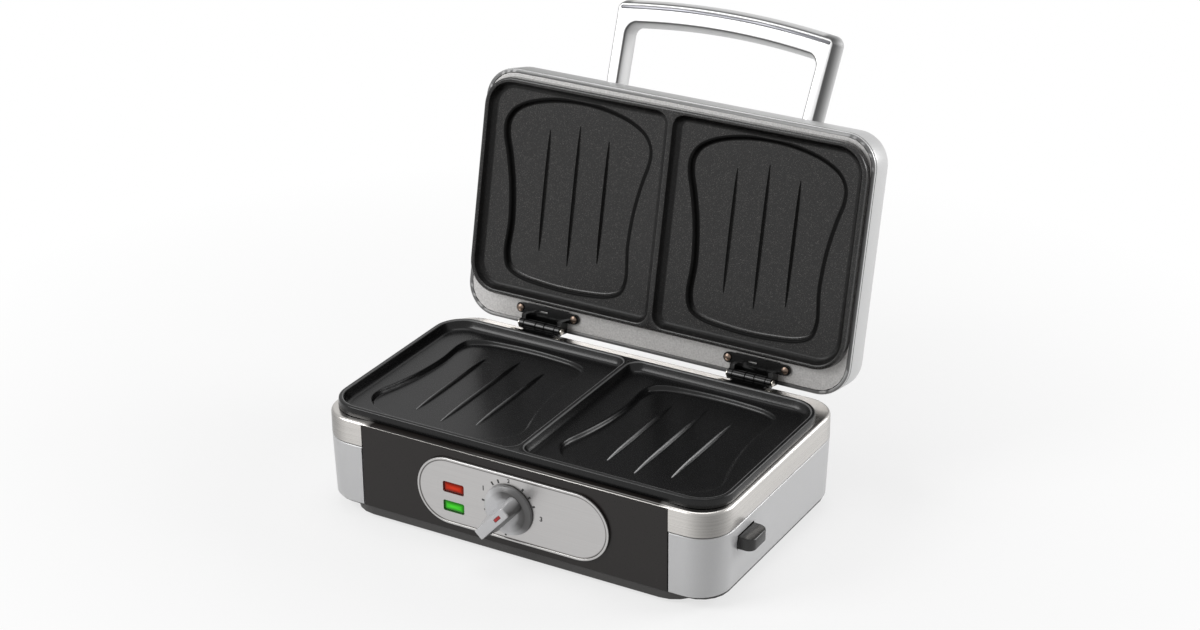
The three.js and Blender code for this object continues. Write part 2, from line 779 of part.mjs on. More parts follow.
// Everything that belongs to one cooking plate; the lid's set is the same, turned over
function plateStation(prefix, drop, wallX, reach) {
  const springEnd = latchFace - latchArm - seatGap;
  const springStart = springEnd - springLength;
  return [
    piece(`${prefix}_cooking_plate`, cookingPlate(), nonStick),
    piece(`${prefix}_heating_element`, heatingElement(), elementSteel),
    piece(`${prefix}_reflector`, reflector(), reflectorSteel),
    piece(`${prefix}_release_button`, releaseButton(drop, wallX, reach), blackPlastic),
    piece(`${prefix}_latch_slide`, latchSlide(drop, wallX), blackPlastic),
    piece(`${prefix}_latch_spring`, coilSpring([springStart, springEnd], releaseY, -drop), brightSteel),
  ];
}

// Base housing pieces
function bodyRing(inset, sideLean = 0) {
  return evenRing(halfWidth - inset - sideLean, halfDepth - inset, cornerRadius - inset);
}

function endShellWall() {
  const skin = (inset, below, above) => toSolid(loft([
    { ring: bodyRing(inset, sideDraft), z: shellBottom - below },
    { ring: bodyRing(inset), z: bandBottom - seatGap + above },
  ]));
  return skin(0, 0, 0).subtract(skin(shellWall, overrun, overrun));
}

function endShell(side) {
  const inner = panelWidth / 2 + seatGap;
  const span = side > 0 ? [inner, baseWidth] : [-baseWidth, -inner];
  const keep = box(span, [-baseDepth, baseDepth], [0, bandTop]);
  let shell = endShellWall().intersect(keep);
  if (side > 0) {
    const lift = (solid) => solid.translate([0, 0, lowerRim]);
    const lean = sideDraft * (bandBottom - lowerRim + lowerButtonDrop) / (bandBottom - shellBottom);
    const wallX = halfWidth - lean;
    shell = shell.add(lift(latchShelf(lowerButtonDrop, wallX - shellWall / 2)));
    shell = shell.subtract(lift(buttonHole(lowerButtonDrop, wallX)));
  }
  return shell;
}

// Steel band: skirt all round, flat ledge on top, cut away in front and behind for the panels
function steelBand() {
  const outer = toSolid(loft([
    { ring: bodyRing(0), z: bandBottom },
    { ring: bodyRing(0), z: bandTop - bandEdgeRound },
    { ring: bodyRing(bandEdgeRound * roundShare), z: bandTop - bandEdgeRound * roundShare },
    { ring: bodyRing(bandEdgeRound), z: bandTop },
  ]));
  const inner = toSolid(loft([
    { ring: bodyRing(sheetWall), z: bandBottom - overrun },
    { ring: bodyRing(sheetWall), z: bandTop - sheetWall - bandEdgeRound },
    { ring: bodyRing(sheetWall + bandEdgeRound), z: bandTop - sheetWall },
  ]));
  const half = panelWidth / 2 + seatGap;
  const panelCut = box(
    [-half, half], [-baseDepth, baseDepth], [bandBottom - overrun, bandTop - sheetWall],
  );
  const opening = plateOpening([bandBottom, bandTop + overrun]);
  return cut(outer, inner, panelCut, opening, ...screwHolesInLedge());
}

function screwHolesInLedge() {
  const holes = [];
  for (const side of [-1, 1]) {
    for (const end of [-1, 1]) {
      holes.push(barZ(
        side * hingeX + end * baseScrewX, halfDepth - baseLeafFront + baseLeafDepth / 2,
        [bandTop - sheetWall - overrun, bandTop + overrun], screwShankRadius + fitGap, smallSides,
      ));
    }
  }
  return holes;
}

// Upright black panel with a return flange round its back, drawn at the front and turned for the rear
function panelShell() {
  const half = panelWidth / 2;
  const face = box([-half, half], [-panelFront, -panelFront + panelFlange], [shellBottom, panelTop]);
  const hollow = box(
    [-half + shellWall, half - shellWall],
    [-panelFront + shellWall, -panelFront + panelFlange + overrun],
    [shellBottom + shellWall, panelTop - shellWall],
  );
  return face.subtract(hollow);
}

function frontFascia() {
  const through = [-panelFront - overrun, -panelFront + shellWall + overrun];
  const lensHoles = [upperLensY, lowerLensY].map((y) => box(
    [lensX - lensWidth / 2 - fitGap, lensX + lensWidth / 2 + fitGap],
    through,
    [controlHeight + y - lensHeight / 2 - fitGap, controlHeight + y + lensHeight / 2 + fitGap],
  ));
  const shaftHole = barY(0, through, controlHeight, neckRadius + fitGap);
  return cut(panelShell(), shaftHole, ...lensHoles);
}

function rearPanel() {
  const through = [-panelFront - overrun, -panelFront + shellWall + overrun];
  const tools = [barY(-glandX, through, glandZ, glandRadius + fitGap)];
  for (let index = 0; index < ventCount; index++) {
    const x = (index - (ventCount - 1) / 2) * ventPitch;
    tools.push(box(
      [x - ventWidth / 2, x + ventWidth / 2], through, [ventZ - ventHeight / 2, ventZ + ventHeight / 2],
    ));
  }
  return cut(panelShell(), ...tools);
}

function cordGland() {
  const inside = shellWall + seatGap + glandLipThickness;
  return toSolid(revolve([
    [glandBore, -inside],
    [glandRadius + glandLip / 2, -inside],
    [glandRadius + glandLip / 2, -shellWall - seatGap],
    [glandRadius, -shellWall - seatGap],
    [glandRadius, seatGap],
    [glandRadius + glandLip, seatGap],
    [glandRadius + glandLip / 2, seatGap + glandLipThickness],
    [glandBore + glandLip / 2, seatGap + glandLipThickness],
    [glandBore, seatGap + glandLipThickness / 2],
    [glandBore, -inside],
  ]));
}

// Open pan with a flange under the shells, posts for the reflector and pads for the feet
function baseTray() {
  const trayRing = (inset) => evenRing(
    halfWidth - traySideInset - inset,
    halfDepth - trayFrontInset - inset,
    cornerRadius - trayFrontInset - inset,
  );
  const flangeZ = trayTop - trayFlange;
  const walls = prism(trayRing(0), [trayUnderside, trayTop]);
  const plateau = prism(
    evenRing(halfWidth - plateauInset, halfDepth - plateauInsetY, cornerRadius / 2),
    [footHeight, trayFloor - trayWall / 2],
  );
  const flange = prism(bodyRing(flangeInset), [flangeZ, trayTop]);
  const hollow = prism(trayRing(trayWall), [trayFloor, trayTop + overrun]);
  let tray = join(walls, flange, plateau).subtract(hollow);
  const postTop = reflectorBack - seatGap;
  for (const x of [-postX, postX]) {
    for (const y of [-postY, postY]) {
      tray = tray.add(barZ(x, plateY + y, [trayFloor - trayWall / 2, postTop], postRadius, smallSides));
    }
  }
  const footHoles = [];
  for (const x of [-footX, footX]) {
    for (const y of [-footY, footY]) {
      footHoles.push(barZ(x, y, [0, trayFloor + overrun], footPeg + fitGap, smallSides));
    }
  }
  return cut(tray, ...footHoles);
}

// Rubber foot with a peg up through the tray
function foot() {
  return toSolid(revolve([
    [0, 0],
    [footRadius - footTaper, 0],
    [footRadius, trayUnderside - seatGap],
    [footPeg, trayUnderside - seatGap],
    [footPeg, trayFloor + seatGap],
    [footPeg + seatGap, trayFloor + 2 * seatGap],
    [footPeg, trayFloor + footPeg],
    [0, trayFloor + footPeg],
  ]));
}

// Control panel pieces are drawn flat, x right and y up, then stood up on the fascia
function stadiumRing(halfLength, halfHeight) {
  return evenRing(halfLength, halfHeight, halfHeight, 0, controlShift);
}

function lensOpening(y, span) {
  const halfX = lensWidth / 2 + lensFrame;
  const halfY = lensHeight / 2 + lensFrame;
  return box([lensX - halfX, lensX + halfX], [y - halfY, y + halfY], span);
}

function controlPlate() {
  const rimTop = controlThickness + controlRimHeight;
  const inset = (distance) => stadiumRing(controlHalfLength - distance, controlHalfHeight - distance);
  const blank = toSolid(loft([
    { ring: inset(0), z: 0 },
    { ring: inset(0), z: controlThickness },
    { ring: inset(controlRimHeight), z: rimTop },
  ]));
  const dish = toSolid(loft([
    { ring: inset(controlRimWidth + controlRimHeight), z: controlThickness },
    { ring: inset(controlRimWidth), z: rimTop },
    { ring: inset(controlRimWidth), z: rimTop + overrun },
  ]));
  const span = [-overrun, rimTop + overrun];
  return cut(
    blank, dish, lensOpening(upperLensY, span), lensOpening(lowerLensY, span),
    barZ(0, 0, span, neckRadius + fitGap),
  );
}

function indicatorLens() {
  const front = controlThickness - lensRecess;
  const window = prism(evenRing(lensWidth / 2, lensHeight / 2, lensFrame), [front - lensLength, front]);
  const back = -seatGap - shellWall - seatGap;
  const flange = prism(
    evenRing(lensWidth / 2 + lensFlange, lensHeight / 2 + lensFlange, lensFrame),
    [back - lensFlangeThickness, back],
  );
  return window.add(flange);
}

function indicatorLamp() {
  return toSolid(revolve([
    [0, 0],
    [lampRadius, 0],
    [lampRadius, lampLength - lampRadius],
    [lampRadius / 2, lampLength - lampRadius / 4],
    [0, lampLength],
  ], smallSides));
}

// Sloped disc with a tall blade across it; the blade's rounded end, with the mark, points
function controlKnob() {
  const disc = toSolid(revolve([
    [0, 0],
    [knobRadius, 0],
    [knobRadius - knobSlope * roundShare / 2, knobDisc / 4],
    [knobRadius - knobSlope * roundShare, knobDisc / 2],
    [knobRadius - knobSlope, knobDisc],
    [0, knobDisc],
  ], 2 * circleSides));
  const bladeRing = (heel, halfAcross, headRound) => roundedRing(
    (heel + bladeTail) / 2, halfAcross, [bladeRound, headRound, headRound, bladeRound],
    0, (heel - bladeTail) / 2,
  );
  const spread = (share, z) => ({
    ring: bladeRing(
      bladeHeel + bladeHeelDraft * share, bladeFaceHalfWidth + bladeDraft * share, bladeFootRound * share,
    ),
    z,
  });
  const edge = (inset, z) => ({
    ring: bladeRing(bladeHeel - inset, bladeFaceHalfWidth - inset, bladeRound), z,
  });
  const [waistShare, spreadShare] = bladeWaistShares;
  const blade = toSolid(loft([
    spread(1, knobDisc / 2),
    spread(spreadShare, knobDisc + (knobHeight - knobDisc) * waistShare),
    edge(0, knobHeight - bladeRound),
    edge(bladeRound / 2, knobHeight),
  ]));
  const reach = barZ(0, 0, [0, knobHeight + overrun], knobRadius, 2 * circleSides);
  const markPocket = box(
    [markReach - markLength / 2 - seatGap / 2, markReach + markLength / 2 + seatGap / 2],
    [-markWidth / 2 - seatGap / 2, markWidth / 2 + seatGap / 2],
    [knobHeight - markDepth - seatGap, knobHeight + overrun],
  );
  const socket = barZ(0, 0, [-overrun, knobSocket], shaftRadius + seatGap);
  return cut(disc.add(blade.intersect(reach)), markPocket, socket);
}

function pointerMark() {
  return box(
    [markReach - markLength / 2, markReach + markLength / 2],
    [-markWidth / 2, markWidth / 2],
    [knobHeight - markDepth, knobHeight],
  );
}

// Shaft with a flat on it, from the knob's socket back into the thermostat
function knobShaft(back) {
  const shaft = barZ(0, 0, [-back, knobSocket - seatGap], shaftRadius);
  const flat = box(
    [-shaftRadius, shaftRadius], [shaftRadius / 2, 2 * shaftRadius], [0, knobSocket],
  );
  return shaft.subtract(flat);
}

// Thermostat with a round neck through the bracket, bored for the shaft
function thermostat(bodyFront, bore) {
  const body = box(
    [-thermostatWidth / 2, thermostatWidth / 2],
    [-thermostatHalfHeight, thermostatHalfHeight],
    [bodyFront - thermostatDepth, bodyFront],
  );
  const neck = barZ(0, 0, [bodyFront - overrun, -shellWall + fitGap], neckRadius);
  return body.add(neck).subtract(barZ(0, 0, [bore, overrun], shaftRadius + seatGap));
}

function thermostatBracket() {
  const plateY0 = -panelFront + thermostatSetback - seatGap - sheetWall;
  const upright = box(
    [-bracketWidth / 2, bracketWidth / 2],
    [plateY0, plateY0 + sheetWall],
    [trayFloor + seatGap, bracketTop],
  );
  const tread = box(
    [-bracketWidth / 2, bracketWidth / 2],
    [plateY0, plateY0 + bracketFoot],
    [trayFloor + seatGap, trayFloor + seatGap + sheetWall],
  );
  const hole = barY(0, [plateY0 - overrun, plateY0 + overrun], controlHeight, neckRadius + fitGap);
  return upright.add(tread).subtract(hole);
}

function terminalBlock() {
  let block = box(
    [-terminalLength / 2, terminalLength / 2],
    [-terminalDepth / 2, terminalDepth / 2],
    [0, terminalHeight],
  );
  const poles = 3;
  for (let pole = 0; pole < poles; pole++) {
    const x = (pole - (poles - 1) / 2) * terminalLength / poles;
    const bore = terminalHeight / 5;
    block = cut(
      block,
      barY(x, [-terminalDepth, terminalDepth], terminalHeight / 3, bore, smallSides),
      barZ(x, 0, [terminalHeight / 2, terminalHeight + overrun], bore, smallSides),
    );
  }
  return block;
}

// Hinge pieces, drawn round x = 0 with the pin axis at their own origin
function baseHingeLeaf() {
  const footZ = -hingeLift + seatGap;
  const toY = (fromRear) => hingeInset - fromRear;
  const frontY = toY(baseLeafFront);
  const sheet = [footZ, footZ + leafThickness];
  const plate = box([-baseLeafHalfWidth, baseLeafHalfWidth], [frontY, frontY + baseLeafDepth], sheet);
  const web = box([-cheekInner + fitGap, cheekInner - fitGap], [frontY + baseLeafDepth / 2, 0], sheet);
  const stop = box([-stopHalfWidth, stopHalfWidth], [-overrun, stopReach], sheet);
  const barrels = knuckleShares.map(([from, to]) => barX(
    [from * cheekInner, to * cheekInner], 0, 0, knuckleRadius, smallSides,
  ));
  const leaf = join(plate, web, stop, ...barrels);
  const holes = [-baseScrewX, baseScrewX].map((x) => barZ(
    x, frontY + baseLeafDepth / 2, [footZ - overrun, footZ + overrun + leafThickness],
    screwShankRadius + fitGap, smallSides,
  ));
  return cut(leaf, barX([-cheekInner, cheekInner], 0, 0, pinRadius + seatGap, smallSides), ...holes);
}

function lidHingeLeaf() {
  const top = lidRim - hingeZ - seatGap;
  const toY = (fromRear) => hingeInset - fromRear;
  const span = [top - leafThickness, top];
  const through = [top - leafThickness - overrun, top + overrun];
  const cheekOuter = cheekInner + cheekThickness;
  const plate = box([-cheekOuter, cheekOuter], [toY(lidLeafFront), toY(lidLeafRear)], span);
  const ears = [-earX, earX].map((x) => {
    const arm = box(
      [Math.min(x, 0), Math.max(x, 0)], [toY(earInset + earRadius), toY(earInset - earRadius)], span,
    );
    return arm.add(barZ(x, toY(earInset), span, earRadius));
  });
  const cheeks = [-1, 1].map((side) => {
    const range = side > 0 ? [cheekInner, cheekOuter] : [-cheekOuter, -cheekInner];
    const arm = box(range, [toY(lidLeafFront * cheekShare), toY(0)], [0, top]);
    return arm.add(barX(range, 0, 0, knuckleRadius, smallSides));
  });
  const holes = [-earX, earX].map((x) => barZ(
    x, toY(earInset), through, screwShankRadius + fitGap, smallSides,
  ));
  const slotY = toY(earInset);
  const slot = box([-leafSlotLength, 0], [slotY - leafSlotWidth / 2, slotY + leafSlotWidth / 2], through);
  const pinHole = barX(
    [-cheekOuter - overrun, cheekOuter + overrun], 0, 0, pinRadius + seatGap, smallSides,
  );
  return cut(join(plate, ...ears, ...cheeks), pinHole, slot, ...holes);
}

function hingePin() {
  const end = cheekInner + cheekThickness + seatGap;
  const rod = barX([-end - pinHead / 2, end + pinHead / 2], 0, 0, pinRadius, smallSides);
  return join(
    rod,
    barX([-end - pinHead, -end], 0, 0, pinHeadRadius, smallSides),
    barX([end, end + pinHead], 0, 0, pinHeadRadius, smallSides),
  );
}

// Pan-head screw, head up, its seat at z = 0
function panScrew(length) {
  return toSolid(revolve([
    [0, -length],
    [screwShankRadius, -length],
    [screwShankRadius, seatGap],
    ...screwDomeShares.map(([outShare, upShare]) => [
      screwHeadRadius * outShare, seatGap + screwHeadHeight * upShare,
    ]),
  ], smallSides));
}

// Lid pieces are drawn as they lie with the lid down
function lidRing(inset) {
  return evenRing(halfWidth - inset, halfDepth - inset, cornerRadius - inset);
}

function crownRing(inset) {
  return evenRing(halfWidth - inset, halfDepth - inset, crownRadius);
}

// Lid's skin, set in by a wall: upright sides, a rounded edge and a shallow crown
function lidSkin(wall, floorZ) {
  const top = lidRim + lidWall - wall;
  const levels = [
    { ring: lidRing(wall), z: floorZ },
    { ring: lidRing(wall + lidDraft), z: top - lidEdgeRound },
    { ring: lidRing(wall + lidDraft + lidEdgeRound * roundShare), z: top - lidEdgeRound * roundShare },
    { ring: lidRing(wall + lidDraft + lidEdgeRound), z: top },
  ];
  const crownStart = wall + lidDraft + lidEdgeRound;
  for (const share of crownStepShares) {
    const inset = crownStart + share * (crownInset - crownStart + wall);
    const rise = crownRise * Math.sin(share * Math.PI / 2) ** 2;
    levels.push({ ring: crownRing(inset), z: top + rise });
  }
  return toSolid(loft(levels));
}

function lidCover() {
  const outer = lidSkin(0, lidRim);
  const inner = lidSkin(shellWall, lidRim - overrun);
  const postFoot = upperRim - reflectorTop + reflectorSheet + seatGap;
  let cover = outer.subtract(inner);
  for (const x of [-postX, postX]) {
    for (const y of [-postY, postY]) {
      const post = barZ(x, plateY + y, [postFoot, crownTop], postRadius, smallSides);
      cover = cover.add(post.intersect(outer));
    }
  }
  const turnOver = (solid) => solid.rotate([0, 180, 0]).translate([0, 0, upperRim]);
  cover = cover.add(turnOver(latchShelf(upperButtonDrop, halfWidth - shellWall / 2)));
  const tools = handleScrewPlaces().map(([x, y]) => barZ(
    x, y, [crownTop - shellWall - overrun, crownTop + overrun], screwShankRadius + fitGap, smallSides,
  ));
  return cut(cover, turnOver(buttonHole(upperButtonDrop, halfWidth)), ...tools);
}

function lidLiner() {
  const sheet = prism(lidRing(shellWall + seatGap), [lidRim, lidRim + linerThickness]);
  const through = [lidRim - overrun, lidRim + linerThickness + overrun];
  const holes = [];
  for (const side of [-1, 1]) {
    for (const end of [-1, 1]) {
      holes.push(barZ(
        side * hingeX + end * earX, halfDepth - earInset, through, screwShankRadius + fitGap, smallSides,
      ));
    }
  }
  return cut(sheet, plateOpening(through), ...holes);
}

// Handle: a wide U with an arched grip; its outline is drawn on the underside face
const handleOrigin = {
  y: -halfDepth + handleSetback,
  z: lidRim + handleLift,
  turnX: Math.PI - handleClimb,
};

function archAt(x, top) {
  return top - archDrop * (x / handleHalfWidth) ** 2;
}

function handleRing() {
  const outerAt = (s) => handleHalfWidth - legSpread * (handleReach - archDrop - s);
  const innerAt = (s) => outerAt(s) - legWidth;
  const gripInner = handleReach - gripWidth;
  const shoulder = gripInner - gripInnerDrop - gripInnerRadius;
  const cornerS = handleReach - archDrop - handleCornerRadius;
  const [inShare, upShare] = handleCornerShares;
  const right = [
    [innerAt(-legRoot), -legRoot],
    [outerAt(-legRoot), -legRoot],
    [outerAt(0), 0],
    [outerAt(cornerS), cornerS],
    [handleHalfWidth - handleCornerRadius * inShare, cornerS + handleCornerRadius * upShare],
  ];
  for (let step = 0; step < archSteps; step++) {
    const x = (handleHalfWidth - handleCornerRadius) * (1 - step / archSteps);
    right.push([x, archAt(x, handleReach)]);
  }
  const inner = [];
  for (let step = 0; step < gripSteps; step++) {
    const x = gripInnerHalf * step / gripSteps;
    inner.push([x, gripInner - gripInnerDrop * (x / gripInnerHalf) ** 2]);
  }
  const cornerX = innerAt(shoulder);
  const cornerTop = gripInner - gripInnerDrop;
  inner.push([gripInnerHalf, cornerTop]);
  for (const share of gripCornerShares) {
    const angle = share * Math.PI / 2;
    inner.push([
      gripInnerHalf + (cornerX - gripInnerHalf) * Math.sin(angle),
      cornerTop - gripInnerRadius * (1 - Math.cos(angle)),
    ]);
  }
  inner.push([cornerX, shoulder], [innerAt(0), 0]);
  const mirrored = (points) => points.map(([x, s]) => [-x, s]).reverse();
  const all = [
    ...right,
    [0, handleReach],
    ...mirrored(right),
    ...mirrored(inner.slice(1)),
    ...inner,
  ];
  return all.map(([x, s]) => new THREE.Vector2(x, s));
}

function handleScrewPlaces() {
  const run = Math.cos(handleClimb) * handleScrewSetback;
  const x = handleHalfWidth - legSpread * (handleReach - archDrop + handleScrewSetback) - legWidth / 2;
  return [-1, 1].map((side) => [side * x, handleOrigin.y + run]);
}

function inlayRing(halfAcross, halfLength) {
  const along = [];
  for (let step = 0; step <= inlaySteps; step++) {
    const x = halfLength * (2 * step / inlaySteps - 1);
    along.push([x, archAt(x, handleReach - inlayMargin)]);
  }
  const lower = along.map(([x, s]) => new THREE.Vector2(x, s - halfAcross));
  const upper = along.map(([x, s]) => new THREE.Vector2(x, s + halfAcross)).reverse();
  const tip = (sign) => new THREE.Vector2(
    sign * (halfLength + halfAcross), archAt(halfLength, handleReach - inlayMargin),
  );
  return [...lower, tip(1), ...upper, tip(-1)];
}

function handleBody() {
  const outline = handleRing();
  const levels = handleFlareShares.map(([depthShare, flareShare]) => ({
    ring: offsetRing(outline, handleFlare * flareShare), z: -handleDepth * depthShare,
  }));
  const bow = toSolid(loft(levels.reverse()));
  const groove = prism(
    inlayRing(inlayHalfWidth + seatGap, inlayHalfLength), [-inlayDepth - seatGap, overrun],
  );
  const seat = new THREE.Group();
  seat.position.set(0, handleOrigin.y, handleOrigin.z);
  seat.rotation.x = handleOrigin.turnX;
  seat.updateMatrixWorld();
  const toLocal = seat.matrixWorld.clone().invert();
  const below = new THREE.BoxGeometry(baseWidth, baseDepth, baseDepth);
  below.translate(0, halfDepth / 2, crownTop + seatGap - halfDepth);
  below.applyMatrix4(toLocal);
  const bores = handleScrewPlaces().map(([x, y]) => {
    const bore = new THREE.CylinderGeometry(
      screwShankRadius + seatGap, screwShankRadius + seatGap, handleScrewBore + overrun, smallSides,
    );
    const upright = placed(bore, {
      x, y, z: crownTop + (handleScrewBore - overrun) / 2, turnX: Math.PI / 2,
    });
    upright.applyMatrix4(toLocal);
    return toSolid(upright);
  });
  return cut(bow, groove, toSolid(below), ...bores);
}

// Assembly
function basePieces() {
  const lean = sideDraft * (bandBottom - lowerRim + lowerButtonDrop) / (bandBottom - shellBottom);
  const list = [
    piece('base_tray', baseTray(), blackPlastic),
    piece('left_end_shell', endShell(-1), silverPaint),
    piece('right_end_shell', endShell(1), silverPaint),
    piece('steel_band', steelBand(), brushedSteel),
    piece('front_fascia', frontFascia(), blackPlastic),
    piece('rear_panel', rearPanel(), blackPlastic, { turnZ: Math.PI }),
    piece('cord_gland', cordGland(), blackRubber, {
      x: glandX, y: panelFront, z: glandZ, turnX: -Math.PI / 2,
    }),
    piece('terminal_block', terminalBlock(), palePhenolic, {
      x: terminalX, y: terminalY, z: trayFloor + seatGap,
    }),
    piece('thermostat_bracket', thermostatBracket(), reflectorSteel),
    groupOf(plateStation('lower', lowerButtonDrop, halfWidth - lean, lowerButtonReach), { z: lowerRim }),
  ];
  for (const [frontName, y] of [['front', -footY], ['rear', footY]]) {
    for (const [sideName, x] of [['left', -footX], ['right', footX]]) {
      list.push(piece(`foot_${frontName}_${sideName}`, foot(), blackRubber, { x, y }));
    }
  }
  return list;
}

function controlPieces() {
  const stand = { y: -panelFront - seatGap, z: controlHeight, turnX: Math.PI / 2 };
  const bodyFront = -thermostatSetback - seatGap;
  const shaftEnd = thermostatSetback + thermostatDepth / 2;
  const faceZ = controlThickness + fitGap;
  const lampZ = controlThickness - lensRecess - lensLength - seatGap - lampLength;
  const knob = groupOf([
    piece('control_knob', controlKnob(), knobPlastic),
    piece('knob_pointer_mark', pointerMark(), redMark),
    piece('knob_shaft', knobShaft(shaftEnd), brightSteel),
  ], { z: faceZ, turnZ: pointerAngle });
  const panel = groupOf([
    piece('control_plate', controlPlate(), brushedSteel),
    piece('power_lens', indicatorLens(), redLens, { x: lensX, y: upperLensY }),
    piece('ready_lens', indicatorLens(), greenLens, { x: lensX, y: lowerLensY }),
    piece('power_lamp', indicatorLamp(), lampGlass, { x: lensX, y: upperLensY, z: lampZ }),
    piece('ready_lamp', indicatorLamp(), lampGlass, { x: lensX, y: lowerLensY, z: lampZ }),
    piece('thermostat_body', thermostat(bodyFront, faceZ - shaftEnd - seatGap), palePhenolic),
    knob,
  ]);
  panel.position.set(0, stand.y, stand.z);
  panel.rotation.x = stand.turnX;
  return panel;
}

function hingePieces(name, x) {
  const ledgeScrews = [['outer', x < 0 ? -1 : 1], ['inner', x < 0 ? 1 : -1]].map(([end, sign]) => piece(
    `base_hinge_screw_${name}_${end}`, panScrew(leafThickness + sheetWall + seatGap), brightSteel,
    {
      x: sign * baseScrewX,
      y: hingeInset - baseLeafFront + baseLeafDepth / 2,
      z: -hingeLift + seatGap + leafThickness,
    },
  ));
  return groupOf([
    piece(`base_hinge_leaf_${name}`, baseHingeLeaf(), zincBlack),
    piece(`hinge_pin_${name}`, hingePin(), zincBlack),
    ...ledgeScrews,
  ], { x, y: hingeY, z: hingeZ });
}

function lidHingePieces(name, x) {
  const seat = lidRim - hingeZ - seatGap - leafThickness;
  const screws = [['outer', x < 0 ? -1 : 1], ['inner', x < 0 ? 1 : -1]].map(([end, sign]) => piece(
    `lid_hinge_screw_${name}_${end}`, panScrew(leafThickness + linerThickness + seatGap), brightSteel,
    { x: sign * earX, y: hingeInset - earInset, z: seat, turnX: Math.PI },
  ));
  const leaf = piece(`lid_hinge_leaf_${name}`, lidHingeLeaf(), zincBlack);
  return groupOf([leaf, ...screws], { x, y: hingeY, z: hingeZ });
}

function lidPieces() {
  const handlePlace = { y: handleOrigin.y, z: handleOrigin.z, turnX: handleOrigin.turnX };
  const inlay = prism(inlayRing(inlayHalfWidth, inlayHalfLength - seatGap), [-inlayDepth, 0]);
  const upperStation = plateStation('upper', upperButtonDrop, halfWidth, upperButtonReach);
  const list = [
    piece('lid_cover', lidCover(), silverPaint),
    piece('lid_liner', lidLiner(), linerPaint),
    piece('handle', handleBody(), silverPaint, handlePlace),
    piece('handle_inlay', inlay, silverPaint, handlePlace),
    groupOf(upperStation, { z: upperRim, turnY: Math.PI }),
    lidHingePieces('left', -hingeX),
    lidHingePieces('right', hingeX),
  ];
  for (const [index, name] of ['left', 'right'].entries()) {
    const [x, y] = handleScrewPlaces()[index];
    const screw = panScrew(shellWall + handleScrewBore - seatGap);
    list.push(piece(`handle_screw_${name}`, screw, brightSteel, {
      x, y, z: crownTop - shellWall, turnX: Math.PI,
    }));
  }
  return list;
}

// The lid group turns about the pin axis; everything in it is drawn in its closed place
const lid = groupOf([groupOf(lidPieces(), { y: -hingeY, z: -hingeZ })], {
  y: hingeY, z: hingeZ, turnX: -openAngle,
});

// Pieces are drawn from the table up; this brings the tray's underside to the origin
const standing = groupOf([
  ...basePieces(), controlPieces(), hingePieces('left', -hingeX), hingePieces('right', hingeX), lid,
], { z: -footHeight });
const snackMaker = new THREE.Group();
snackMaker.add(standing);

export default snackMaker;
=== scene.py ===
import json
import math

import bmesh
import bpy
import numpy as np
from mathutils import Matrix, Vector


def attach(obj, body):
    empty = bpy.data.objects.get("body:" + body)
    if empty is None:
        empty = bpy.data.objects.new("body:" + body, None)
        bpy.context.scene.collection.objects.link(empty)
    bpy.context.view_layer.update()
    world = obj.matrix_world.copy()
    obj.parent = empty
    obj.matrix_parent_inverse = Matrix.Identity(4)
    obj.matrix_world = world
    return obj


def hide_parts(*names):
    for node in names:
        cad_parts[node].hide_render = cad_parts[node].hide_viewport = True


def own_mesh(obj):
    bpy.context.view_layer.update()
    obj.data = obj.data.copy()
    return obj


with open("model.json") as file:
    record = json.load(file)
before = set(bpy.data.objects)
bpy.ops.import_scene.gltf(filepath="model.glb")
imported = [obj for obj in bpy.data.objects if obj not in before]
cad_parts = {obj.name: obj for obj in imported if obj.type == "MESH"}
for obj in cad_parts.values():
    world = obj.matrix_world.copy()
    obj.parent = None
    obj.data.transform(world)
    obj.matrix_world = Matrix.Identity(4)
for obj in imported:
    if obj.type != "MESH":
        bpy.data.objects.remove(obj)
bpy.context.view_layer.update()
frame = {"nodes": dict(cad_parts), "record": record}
print("frame loaded:", len(frame["nodes"]), "nodes")


# the picture: where the camera, the floor and the lamps stand, in metres
camera = {
    "azimuth": 30.085,  # degrees round to the right of straight ahead
    "elevation": 25.217,
    "distance": 1.66677,
    "target": (0.015324, 0.0, 0.135481),
    "roll": 0.4461,
    "lens": 79.345,  # millimetres, as is the sensor's width
    "sensor": 36.0,
    "clip": (0.05, 60.0),
}
room = {
    "floorHeight": -0.0021,
    "floorHalf": 9.0,
    "floorColour": (0.9, 0.9, 0.9),
    "glowNear": 0.7,  # how much of the floor shows as plain white paper under the object
    "glowReach": (0.22, 0.6),  # where that share starts to grow to 1, and where it gets there
    "worldStrength": 0.34,
    "lampAim": (0.0, 0.0, 0.08),
}
lamps = [
    {"name": "keySoftbox", "place": (-0.85, -0.95, 1.0), "size": (0.8, 0.8), "watts": 13.0},
    {"name": "sideSoftbox", "place": (1.15, 0.95, 0.65), "size": (0.8, 0.8), "watts": 13.0},
    {"name": "topSoftbox", "place": (-0.1, 0.2, 1.5), "size": (1.0, 0.6), "watts": 3.5},
]


def placeObject(name, data):
    # a new object at the origin, in the scene's collection
    obj = bpy.data.objects.new(name, data)
    bpy.context.collection.objects.link(obj)
    return obj


